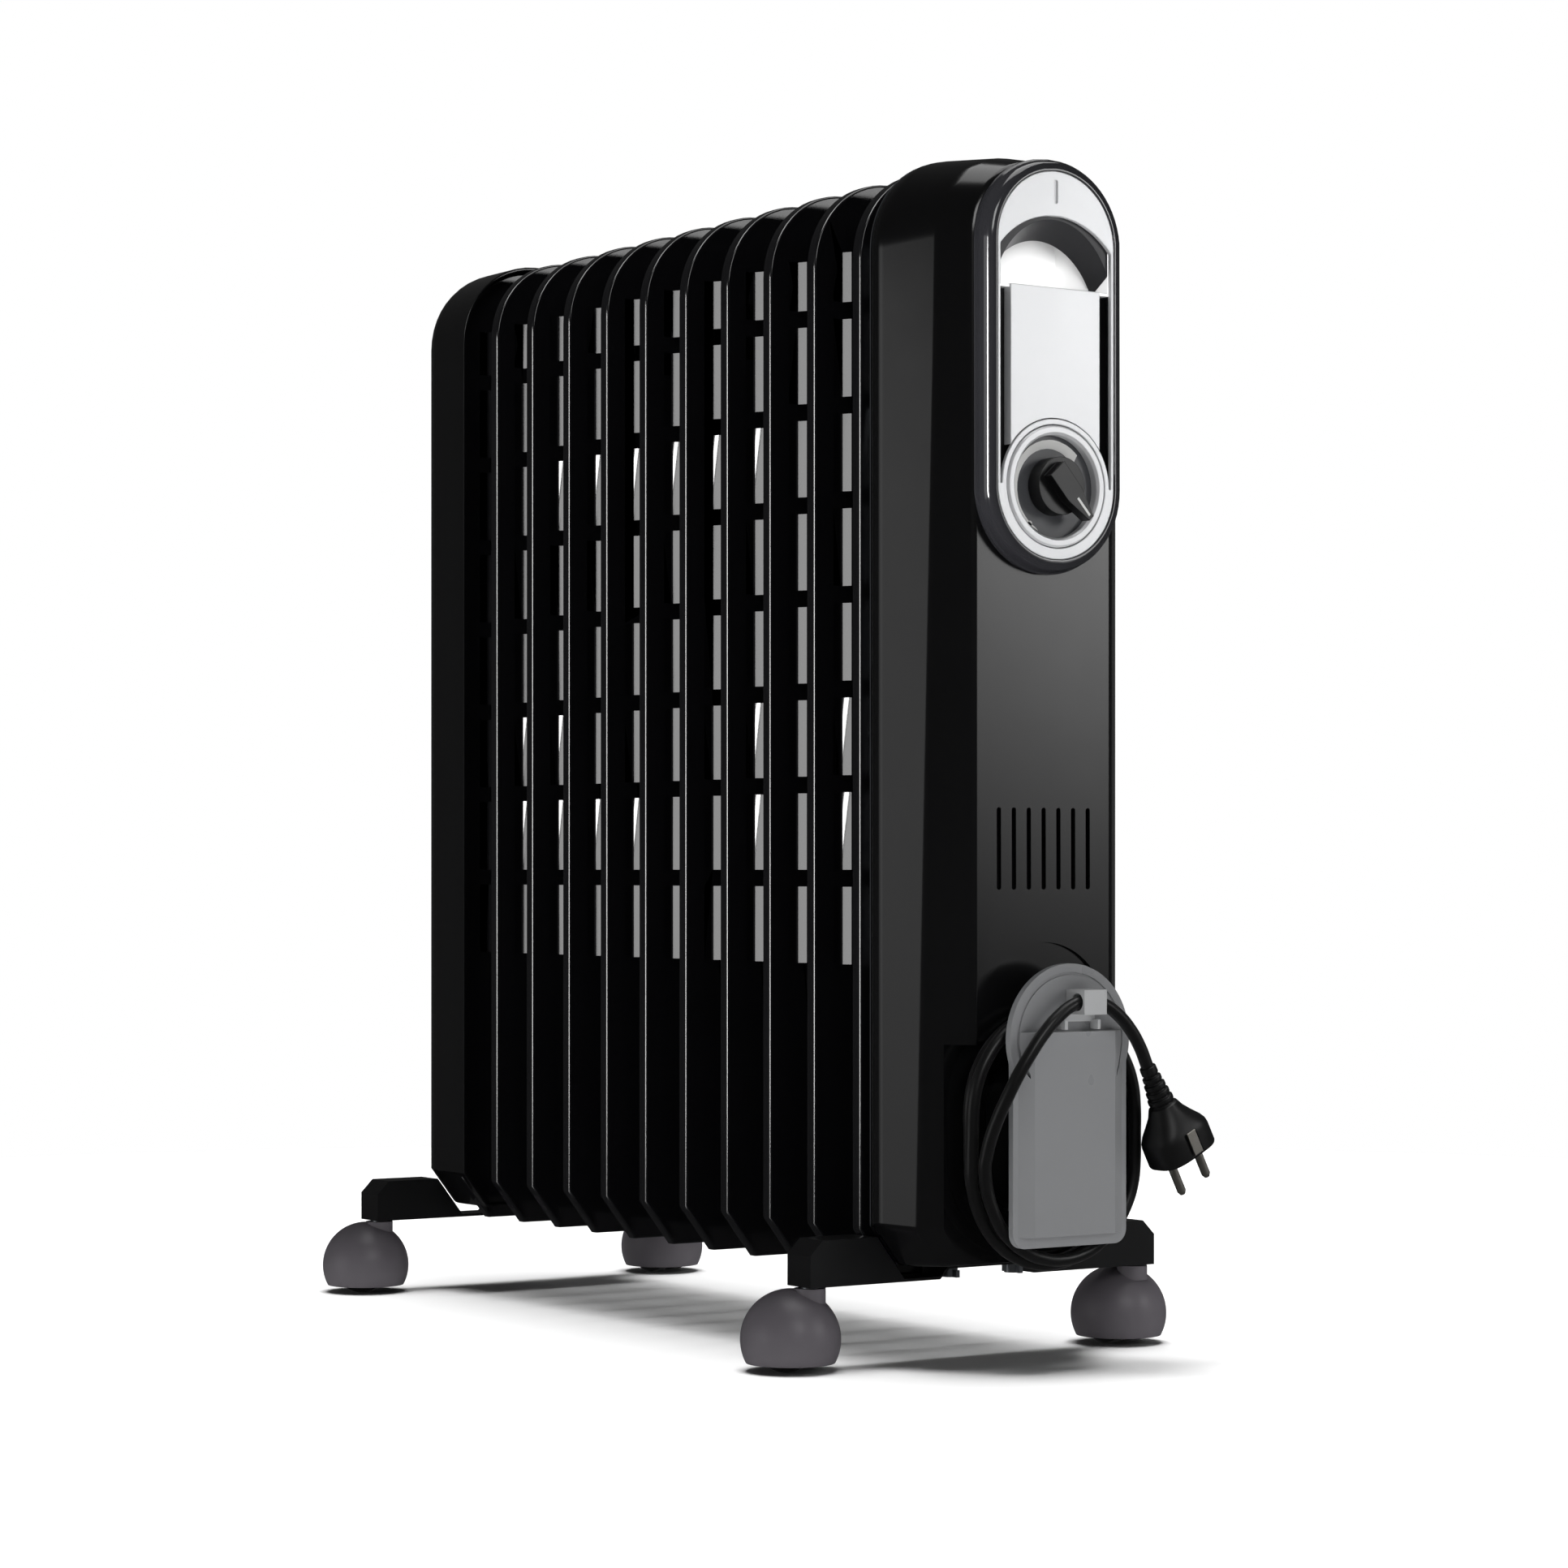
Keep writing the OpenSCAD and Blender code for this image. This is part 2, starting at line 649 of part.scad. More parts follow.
// The grey plate: a round head with a raised rim, and a raised panel down the middle
module spool_plate() {
    half = plate_r - 2;
    color("#8b8d90") difference() {
        union() {
            along_y(plate_y, plate_y + plate_t) {
                translate([0, plate_top_z]) circle(plate_r);
                translate([-half + 8, plate_bottom]) square([2 * half - 16, 40]);
                translate([-half, plate_bottom + 8]) square([2 * half, plate_top_z - plate_bottom - 8]);
                for (side = [-1, 1])
                    translate([side * (half - 8), plate_bottom + 8]) circle(8);
            }
            // raised panel with sloping sides
            translate([0, plate_y + 0.2, plate_bottom + 6]) linear_extrude(plate_top_z - plate_bottom - 2)
                polygon([[-35, 0], [-27, -4.6], [27, -4.6], [35, 0]]);
        }
        // groove round the head
        translate([0, plate_y, plate_top_z]) rotate([90, 0, 0]) translate([0, 0, -0.8])
            rotate_extrude() polygon([[34, 0], [35.4, 0], [35.4, 4], [34, 4]]);
    }
}

// The clip that holds the plug's end of the cord
module cord_clip() {
    hole_r = cord_d / 2 + 1.1;
    z = tail_route[10][2] - 0.7;
    y = tail_route[10][1];
    color("#b4b6b8") difference() {
        union() {
            translate([-3, y - hole_r - 1.6, z - hole_r - 2])
                cube([15, plate_y - y + hole_r + 1.6, 2 * hole_r + 4]);
            for (x = [-8, 14])
                translate([x - 1, plate_y - 7, z - hole_r - 10]) cube([2, 7, 5]);
            translate([-9, plate_y - 2, z - hole_r - 6]) cube([24, 2, 4.5]);
        }
        translate([-12, y, z]) rotate([0, 90, 0]) cylinder(r = hole_r, h = 40);
    }
}

// The tapered strain relief that the cord comes out of
module cord_gland() {
    neck_z = pocket_z + 32;
    color("#161617") translate([gland_tip[0], gland_tip[1], 0]) difference() {
        union() {
            translate([0, 0, gland_tip[2]])
                cylinder(r1 = cord_d / 2 + 0.4, r2 = gland_r, h = neck_z - gland_tip[2]);
            translate([0, 0, neck_z]) cylinder(r = gland_r, h = 14);
        }
        translate([0, 0, gland_tip[2] - 1]) cylinder(r = 2.6, h = neck_z - gland_tip[2] + 20);
    }
}

module cord_lead() {
    color("#0f0f10") tube_along(lead_route, cord_d / 2, 10);
}

module cord_coil() {
    color("#0f0f10") difference() {
        translate([0, 0, spool_z]) along_y(coil_y0, coil_y1)
            pill(coil_outer_r, -spool_straight, spool_straight);
        translate([0, 0, spool_z]) along_y(coil_y0 - 1, coil_y1 + 1)
            pill(coil_inner_r, -spool_straight, spool_straight);
    }
}

module cord_tail() {
    color("#0f0f10") tube_along(tail_route, cord_d / 2, 10);
}

// Places its children at the plug, hanging down its own -Z
module at_plug() {
    translate(plug_top) rotate([0, -plug_tilt, 0]) children();
}

module plug_body() {
    color("#111112") at_plug() difference() {
        union() {
            translate([0, 0, -23]) cylinder(r1 = 7.5, r2 = cord_d / 2 + 0.8, h = 23);
            translate([0, 0, -40]) cylinder(r1 = 15, r2 = 8, h = 17.5);
            translate([0, 0, -54]) cylinder(r = 18.5, h = 16);
        }
        for (side = [-1, 1])
            translate([-30, side * 20 - (side > 0 ? 6 : 14), -60]) cube([60, 20, 24]);
        for (x = [-9.5, 9.5])
            translate([x, 0, -55]) cylinder(r = pin_shank_r, h = 14);
    }
}

module plug_contacts() {
    color("#b9b9b4") at_plug() {
        for (x = [-9.5, 9.5])
            translate([x, 0, -73]) {
                cylinder(r1 = pin_r - 1, r2 = pin_r, h = 2);
                translate([0, 0, 2]) cylinder(r = pin_r, h = 17);
                translate([0, 0, 18]) cylinder(r = pin_shank_r, h = 13);
            }
        for (side = [-1, 1])
            translate([-3, side * 14.6 - 0.6, -52]) cube([6, 1.2, 13]);
    }
}

// ---------------------------------------------------------------- feet

// The upper edge of a foot, from the middle outwards: under the fins, up beside their sloped
// corners and out along the arm
function foot_edge(drop) = let (slope_x = fin_w / 2 - bottom_slope_w + 0.8,
    rise = bottom_slope_h / bottom_slope_w, low = fin_bottom - 0.4 - drop, high = arm_top - drop)
    [[0, low + web_lift], [26, low + web_lift], [32, low], [slope_x + drop * 0.5, low],
        [slope_x + drop * 0.5 + (high - low) / rise, high], [foot_half - 8 - drop * 0.4, high],
        [foot_half - drop, high - 8]];

module foot(y) {
    color("#161618") difference() {
        along_y(y - foot_w / 2, y + foot_w / 2) for (side = [0, 1])
            mirror([side, 0]) polygon(concat(foot_edge(0), [[foot_half, foot_z],
                [52, foot_z], [32, foot_z], [26, foot_z + web_lift], [0, foot_z + web_lift]]));
        along_y(y - foot_w / 2 + foot_t, y + foot_w / 2 - foot_t) for (side = [0, 1])
            mirror([side, 0]) polygon([for (p = concat([for (i = [3:6]) foot_edge(foot_t)[i]],
                [[foot_half - foot_t, foot_z - 1], [54, foot_z - 1]])) p]);
        for (side = [-1, 1])
            translate([side * bolt_x, y - 5, foot_z]) cylinder(r = bolt_r + 0.2, h = 20);
    }
    color("#161618") for (side = [-1, 1])
        translate([side * castor_x, y, 0]) difference() {
            translate([0, 0, foot_z + 0.6])
                cylinder(r = foot_half - castor_x - 0.4, h = arm_top - 8.8 - foot_z);
            translate([0, 0, foot_z - 1])
                cylinder(r = stem_r + run_clear, h = arm_top - 8.6 - foot_z);
        }
}

module front_foot() {
    foot(front_foot_y);
}

module rear_foot() {
    foot(rear_foot_y);
}

// Each bolt hooks over the lower header and pulls a foot up against the fins
module u_bolts() {
    color("#a9abad") for (y = [front_foot_y - 5, rear_foot_y - 5]) {
        translate([0, y, hub_low_z]) rotate([90, 0, 0]) rotate_extrude(angle = 180)
            translate([bolt_x, 0]) circle(bolt_r);
        for (side = [-1, 1])
            translate([side * bolt_x, y, foot_z + 0.5]) cylinder(r = bolt_r, h = hub_low_z - foot_z - 0.5);
    }
}

module wing_nuts() {
    top = foot_z + web_lift;
    color("#a9abad") for (y = [front_foot_y - 5, rear_foot_y - 5], side = [-1, 1])
        translate([side * bolt_x, y, top - 5]) difference() {
            union() {
                cylinder(r = 4.6, h = 5);
                translate([-1.2, -8, 0]) cube([2.4, 16, 4]);
            }
            translate([0, 0, -1]) cylinder(r = bolt_r + 0.02, h = 7);
        }
}

// ---------------------------------------------------------------- castors

castor_at = [[-castor_x, front_foot_y], [castor_x, front_foot_y],
    [-castor_x, rear_foot_y], [castor_x, rear_foot_y]];
axle_r = 3;
hood_gap = 5;       // middle web of a hood
hood_wall = 2.2;

// Castor i's own frame: the hood's centre on the origin, the axle along X
module at_castor(i) {
    t = trail[i];
    translate([castor_at[i][0] + t[0], castor_at[i][1] + t[1], 0])
        rotate([0, 0, atan2(t[1], t[0]) - 90]) children();
}

module castor_hood(i) {
    t = norm(trail[i]);
    color("#6b6b6e") at_castor(i) difference() {
        union() {
            difference() {
                translate([0, 0, wheel_r]) sphere(hood_r, $fn = 64);
                translate([0, 0, wheel_r]) sphere(hood_r - hood_wall, $fn = 64);
            }
            intersection() {
                translate([0, 0, wheel_r]) sphere(hood_r - 1, $fn = 64);
                translate([-hood_gap / 2, -40, 7]) cube([hood_gap, 80, 60]);
            }
            translate([0, -t, 36]) cylinder(r = 8.5, h = foot_z - 1 - 36);
            intersection() {
                translate([0, 0, wheel_r]) sphere(hood_r - 1, $fn = 64);
                translate([0, -t, 35]) cylinder(r = 8.5, h = 20);
            }
        }
        translate([-50, -50, -20]) cube([100, 100, 24]);
        translate([-20, 0, wheel_r]) rotate([0, 90, 0]) cylinder(r = axle_r, h = 40);
        translate([0, -t, 36.5]) cylinder(r = stem_r, h = 30);
    }
}

module castor_pins(i) {
    t = norm(trail[i]);
    half = hood_gap / 2 + wheel_t + 1.5;
    color("#b5b7b9") at_castor(i) {
        translate([-half, 0, wheel_r]) rotate([0, 90, 0]) cylinder(r = axle_r, h = 2 * half);
        translate([0, -t, 36.5]) cylinder(r = stem_r, h = arm_top - 10 - 36.5);
    }
}

module castor_wheel(i, side) {
    x0 = hood_gap / 2 + 0.6;
    color("#0d0d0e") at_castor(i) mirror([side, 0, 0]) translate([x0, 0, wheel_r]) rotate([0, 90, 0])
        rotate_extrude() polygon([[axle_r + run_clear, 0], [wheel_r - 1.2, 0], [wheel_r, 1.2],
            [wheel_r, wheel_t - 1.8], [wheel_r - 1.8, wheel_t], [7, wheel_t], [6, wheel_t - 1.5],
            [axle_r + run_clear, wheel_t - 1.5]]);
}

// ---------------------------------------------------------------- the nodes

fin(0);  // fin_01
fin(1);  // fin_02
fin(2);  // fin_03
fin(3);  // fin_04
fin(4);  // fin_05
fin(5);  // fin_06
fin(6);  // fin_07
fin(7);  // fin_08
fin(8);  // fin_09
fin(9);  // fin_10
fin(10);  // fin_11
rear_cover();
front_cover();
back_plate();
pod_bezel();
pod_tray();
face_frame();
fascia_strip();
handle_liner();
carry_handle();
dial_bezel();
dial_plate();
thermostat_knob();
thermostat_shaft();
thermostat_body();
safety_cutout();
terminal_block();
wiring();
heating_element();
oil_plug();
spool_core();
spool_plate();
cord_clip();
cord_gland();
cord_lead();
cord_coil();
cord_tail();
plug_body();
plug_contacts();
front_foot();
rear_foot();
u_bolts();
wing_nuts();
castor_hood(0);  // castor_fl_hood
castor_pins(0);  // castor_fl_pins
castor_wheel(0, 0);  // castor_fl_wheel_a
castor_wheel(0, 1);  // castor_fl_wheel_b
castor_hood(1);  // castor_fr_hood
castor_pins(1);  // castor_fr_pins
castor_wheel(1, 0);  // castor_fr_wheel_a
castor_wheel(1, 1);  // castor_fr_wheel_b
castor_hood(2);  // castor_rl_hood
castor_pins(2);  // castor_rl_pins
castor_wheel(2, 0);  // castor_rl_wheel_a
castor_wheel(2, 1);  // castor_rl_wheel_b
castor_hood(3);  // castor_rr_hood
castor_pins(3);  // castor_rr_pins
castor_wheel(3, 0);  // castor_rr_wheel_a
castor_wheel(3, 1);  // castor_rr_wheel_b
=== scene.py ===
# Looks for an oil filled radiator heater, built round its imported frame. Lengths in the code are
# millimetres until they reach Blender, and everything stands in the frame's own axes.
import math

import bmesh
import bpy
from mathutils import Matrix, Vector


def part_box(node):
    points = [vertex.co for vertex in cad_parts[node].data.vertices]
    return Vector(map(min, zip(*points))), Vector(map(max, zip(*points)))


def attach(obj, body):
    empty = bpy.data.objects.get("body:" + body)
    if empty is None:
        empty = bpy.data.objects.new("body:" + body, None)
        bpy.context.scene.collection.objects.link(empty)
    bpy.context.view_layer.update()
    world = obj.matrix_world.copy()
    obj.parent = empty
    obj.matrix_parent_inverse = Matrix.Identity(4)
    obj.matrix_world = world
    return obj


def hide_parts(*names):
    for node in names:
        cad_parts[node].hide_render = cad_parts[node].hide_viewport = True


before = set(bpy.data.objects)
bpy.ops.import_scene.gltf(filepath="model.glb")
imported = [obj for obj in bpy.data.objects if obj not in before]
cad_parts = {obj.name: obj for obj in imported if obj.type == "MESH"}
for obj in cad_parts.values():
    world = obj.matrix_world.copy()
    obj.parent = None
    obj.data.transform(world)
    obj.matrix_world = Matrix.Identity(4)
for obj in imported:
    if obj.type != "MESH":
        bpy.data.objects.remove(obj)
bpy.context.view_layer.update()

bl_info = {
    "name": "Oil Filled Radiator Heater",
    "version": (1, 0, 0),
    "blender": (4, 5, 0),
    "location": "View3D > Sidebar > Heater",
    "description": "Builds the enamelled fins, covers, control pod, cord and castors of a heater",
    "category": "Add Mesh",
}

MM = 0.001
COVER_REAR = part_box("back_plate")[0].y / MM      # rear edge of the front cover
FIRST_FIN = COVER_REAR + 12.0                    # front edge of the first fin
FIN_PITCH = 43.5
FRONT = FIRST_FIN - 64.0                         # flat front of the cover
REAR_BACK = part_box("rear_cover")[1].y / MM
COVER_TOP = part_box("front_cover")[1].z / MM
DIAL_Z = (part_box("dial_plate")[0].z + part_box("dial_plate")[1].z) / 2 / MM
POD_TOP = 600.0                                  # centre of the pod's top end
SPOOL_Z = (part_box("cord_coil")[0].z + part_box("cord_coil")[1].z) / 2 / MM
POD_OPENING_R = 39.0                             # inside radius of the pod's bezel
FIN_COUNT = 11
FIN_ROLL_X, FIN_ROLL_TOP, FIN_ROLL_FOOT = 66.0, COVER_TOP - 30, 74.0   # the rim lies past these
SLOT_X, SLOT_Z = (48.5, 58.5), (214.0, 607.0)    # the air slots' outer edges and their vanes
SLOT_SHIFT = 4.5                                 # how far out they are drawn, clear of the rims
WEDGE_R, WEDGE_STEPS = 25.2, 40                  # printed heat wedge on the dial
GLAND_X, GLAND_Y = 22.0, -264.5                  # where the lead leaves the cover


# ------------------------------------------------------------------ sizes and colours


def linear(hex_colour):
    """Turns an sRGB hex colour such as #3a3a3d into Blender's linear RGBA."""
    text = hex_colour.lstrip("#")
    parts = [int(text[i:i + 2], 16) / 255 for i in (0, 2, 4)]
    return [c / 12.92 if c <= 0.04045 else ((c + 0.055) / 1.055) ** 2.4 for c in parts] + [1.0]


class HeaterSizes(bpy.types.PropertyGroup):
    """Sizes that a user would change"""
    fin_edge: bpy.props.FloatProperty(
        name="Fin Edge", description="Radius at which a fin's sheet rolls into its rim",
        default=1.6 * MM, min=0.0, unit="LENGTH")
    cover_crease: bpy.props.FloatProperty(
        name="Cover Crease", description="Rounding of the creases of the front cover",
        default=2.4 * MM, min=0.0, unit="LENGTH")
    cover_wall: bpy.props.FloatProperty(
        name="Cover Wall", description="Thickness of the steel covers",
        default=2.0 * MM, min=0.0005, unit="LENGTH")
    cord_diameter: bpy.props.FloatProperty(
        name="Cord Diameter", description="Thickness of the mains lead",
        default=7.0 * MM, min=0.002, unit="LENGTH")


class HeaterColours(bpy.types.PropertyGroup):
    """Colours that a user would change"""
    enamel: bpy.props.FloatVectorProperty(
        name="Enamel", description="Colour of the fins", subtype="COLOR",
        default=linear("#050506")[:3])
    cover: bpy.props.FloatVectorProperty(
        name="Covers", description="Colour of the front and rear covers", subtype="COLOR",
        default=linear("#0a0a0b")[:3])


# ------------------------------------------------------------------ small tools


def only(*obs):
    """Selects just these objects, the first one active."""
    bpy.ops.object.select_all(action="DESELECT")
    for ob in obs:
        ob.select_set(True)
    bpy.context.view_layer.objects.active = obs[0]


def select_by(ob, test, mode="FACE"):
    """In edit mode, selects the faces, edges or vertices that pass a test."""
    bpy.ops.mesh.select_all(action="DESELECT")
    bpy.ops.mesh.select_mode(type=mode)
    bm = bmesh.from_edit_mesh(ob.data)
    group = {"FACE": bm.faces, "EDGE": bm.edges, "VERT": bm.verts}[mode]
    for item in group:
        if test(item):
            item.select_set(True)
    bm.select_flush_mode()
    bmesh.update_edit_mesh(ob.data)


def apply_all(ob):
    """Applies every modifier in its order."""
    only(ob)
    for mod in list(ob.modifiers):
        bpy.ops.object.modifier_apply(modifier=mod.name)


def smooth(ob, angle=32):
    """Smooth shading that leaves large flat faces flat."""
    only(ob)
    bpy.ops.object.shade_smooth_by_angle(angle=math.radians(angle))
    mod = ob.modifiers.new("weighted", "WEIGHTED_NORMAL")
    mod.keep_sharp = True
    mod.weight = 70
    apply_all(ob)


def soften(ob, width, segments=2, angle=35):
    """Rounds the sharp edges of a finished shape. Width is in metres."""
    only(ob)
    mod = ob.modifiers.new("edges", "BEVEL")
    mod.width = width
    mod.segments = segments
    mod.limit_method = "ANGLE"
    mod.angle_limit = math.radians(angle)
    mod.harden_normals = False
    mod.miter_outer = "MITER_ARC"
    apply_all(ob)


def cut(ob, cutter, operation="DIFFERENCE"):
    """Cuts one closed shape with another and removes the cutter."""
    only(ob)
    mod = ob.modifiers.new("cut", "BOOLEAN")
    mod.operation = operation
    mod.solver = "EXACT"
    mod.object = cutter
    bpy.ops.object.modifier_apply(modifier=mod.name)
    bpy.data.objects.remove(cutter, do_unlink=True)


def join(name, *obs):
    """Makes one piece of several meshes."""
    only(*obs)
    if len(obs) > 1:
        bpy.ops.object.join()
    obs[0].name = name
    obs[0].data.name = name
    return obs[0]


def lofted(name, rings, start="cap", end="cap"):
    """A skin through rings of points, drawn out of a circle one ring at a time. With start and
    end both "loop" the skin closes on its first ring."""
    count = len(rings[0])
    if start == "loop":
        rings = rings + rings[:1]
    bpy.ops.object.select_all(action="DESELECT")
    bpy.ops.mesh.primitive_circle_add(vertices=count, radius=1, location=(0, 0, 0))
    ob = bpy.context.active_object
    ob.name = name
    ob.data.name = name
    bpy.ops.object.mode_set(mode="EDIT")
    bpy.ops.mesh.select_mode(type="VERT")
    bpy.ops.mesh.select_all(action="SELECT")
    for _ in rings[1:]:
        bpy.ops.mesh.extrude_region_move(TRANSFORM_OT_translate={"value": (0, 0, 1)})
    bpy.ops.object.mode_set(mode="OBJECT")
    place = {}
    for v in ob.data.vertices:
        level = round(v.co.z)
        index = round(math.atan2(v.co.y, v.co.x) / math.tau * count) % count
        place[v.index] = (level, index)
    for v in ob.data.vertices:
        level, index = place[v.index]
        v.co = Vector(rings[level][index]) * MM
    bpy.ops.object.mode_set(mode="EDIT")
    last = len(rings) - 1
    ends = {0: start, last: end}
    for level, how in ends.items():
        if how == "cap":
            members = {i for i, p in place.items() if p[0] == level}
            select_by(ob, lambda e: all(v.index in members for v in e.verts), "EDGE")
            bpy.ops.mesh.edge_face_add()
    if start == "loop":
        bpy.ops.mesh.select_all(action="SELECT")
        bpy.ops.mesh.remove_doubles(threshold=1e-6)
    bpy.ops.mesh.select_all(action="SELECT")
    bpy.ops.mesh.normals_make_consistent(inside=False)
    bpy.ops.object.mode_set(mode="OBJECT")
    return ob


def block(x0, x1, y0, y1, z0, z1):
    """A box between corners, as a cutter or a start."""
    bpy.ops.object.select_all(action="DESELECT")
    bpy.ops.mesh.primitive_cube_add(
        size=1, location=((x0 + x1) / 2 * MM, (y0 + y1) / 2 * MM, (z0 + z1) / 2 * MM),
        scale=((x1 - x0) * MM, (y1 - y0) * MM, (z1 - z0) * MM))
    ob = bpy.context.active_object
    bpy.ops.object.transform_apply(location=True, rotation=True, scale=True)
    return ob


def from_frame(node, name):
    """A merged copy of a frame node's mesh, flat faces joined up, ready to be finished."""
    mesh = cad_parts[node].data.copy()
    mesh.name = name
    mesh.materials.clear()
    ob = bpy.data.objects.new(name, mesh)
    bpy.context.scene.collection.objects.link(ob)
    only(ob)
    bpy.ops.object.mode_set(mode="EDIT")
    bpy.ops.mesh.select_mode(type="VERT")
    bpy.ops.mesh.select_all(action="SELECT")
    bpy.ops.mesh.remove_doubles(threshold=2e-6)
    bpy.ops.mesh.select_all(action="SELECT")
    bpy.ops.mesh.dissolve_limited(angle_limit=math.radians(0.6))
    bpy.ops.object.mode_set(mode="OBJECT")
    return ob


def put(ob, body, material, nodes=()):
    """Gives a finished piece its material, hangs it on its body, and hides the frame nodes that it
    stands for.
    """
    ob.data.materials.clear()
    ob.data.materials.append(material)
    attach(ob, body)
    if nodes:
        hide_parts(*nodes)
    return ob


def refined(node, name, body, material, width=0.4, segments=2, angle=35):
    """A frame node's shape with its edges rounded as the real piece's are."""
    ob = from_frame(node, name)
    if width:
        soften(ob, width * MM, segments, angle)
    smooth(ob, 32)
    return put(ob, body, material, (node,))


# ------------------------------------------------------------------ materials


def add(tree, kind, settings=None, inputs=None, links=None):
    """Adds one node. inputs sets its sockets, links joins them to other nodes' outputs."""
    node = tree.nodes.new(kind)
    for key, value in (settings or {}).items():
        setattr(node, key, value)
    for key, value in (inputs or {}).items():
        node.inputs[key].default_value = value
    for key, (source, output) in (links or {}).items():
        tree.links.new(source.outputs[output], node.inputs[key])
    return node


def surface(name, colour, roughness, grain_mm, grain_depth, rough_change=0.05, metallic=0.0,
            specular=0.5, ior=1.5, coat=0.0, coat_rough=0.05, tint=None, stretch=(1, 1, 1),
            sheen=0.0, patch_mm=40.0):
    """A real finish: its colour drifts a little in large patches, its roughness with it, and its
    grain stands up from the surface at its own size."""
    mat = bpy.data.materials.new(name)
    mat.use_nodes = True
    tree = mat.node_tree
    tree.nodes.clear()
    coords = add(tree, "ShaderNodeTexCoord")
    spread = add(tree, "ShaderNodeMapping", inputs={"Scale": stretch},
                 links={"Vector": (coords, "Object")})
    patch = add(tree, "ShaderNodeTexNoise",
                inputs={"Scale": 1000 / patch_mm, "Detail": 3.0, "Roughness": 0.55},
                links={"Vector": (spread, "Vector")})
    base = linear(colour) if isinstance(colour, str) else colour
    other = linear(tint) if tint else [min(1.0, c * 1.25 + 0.0004) for c in base[:3]] + [1.0]
    mix = add(tree, "ShaderNodeMix", {"data_type": "RGBA"},
              {"A": list(base), "B": other}, {"Factor": (patch, "Fac")})
    rough = add(tree, "ShaderNodeMapRange",
                inputs={"To Min": max(0.02, roughness - rough_change),
                        "To Max": min(1.0, roughness + rough_change)},
                links={"Value": (patch, "Fac")})
    grain = add(tree, "ShaderNodeTexNoise",
                inputs={"Scale": 1000 / grain_mm, "Detail": 2.0, "Roughness": 0.5},
                links={"Vector": (spread, "Vector")})
    bump = add(tree, "ShaderNodeBump",
               inputs={"Strength": grain_depth, "Distance": 0.1 * MM},
               links={"Height": (grain, "Fac")})
    bsdf = add(tree, "ShaderNodeBsdfPrincipled",
               inputs={"Metallic": metallic, "IOR": ior, "Specular IOR Level": specular,
                       "Coat Weight": coat, "Coat Roughness": coat_rough, "Sheen Weight": sheen},
               links={"Base Color": (mix, "Result"), "Roughness": (rough, "Result"),
                      "Normal": (bump, "Normal")})
    add(tree, "ShaderNodeOutputMaterial", links={"Surface": (bsdf, "BSDF")})
    return mat


MATERIALS = {}


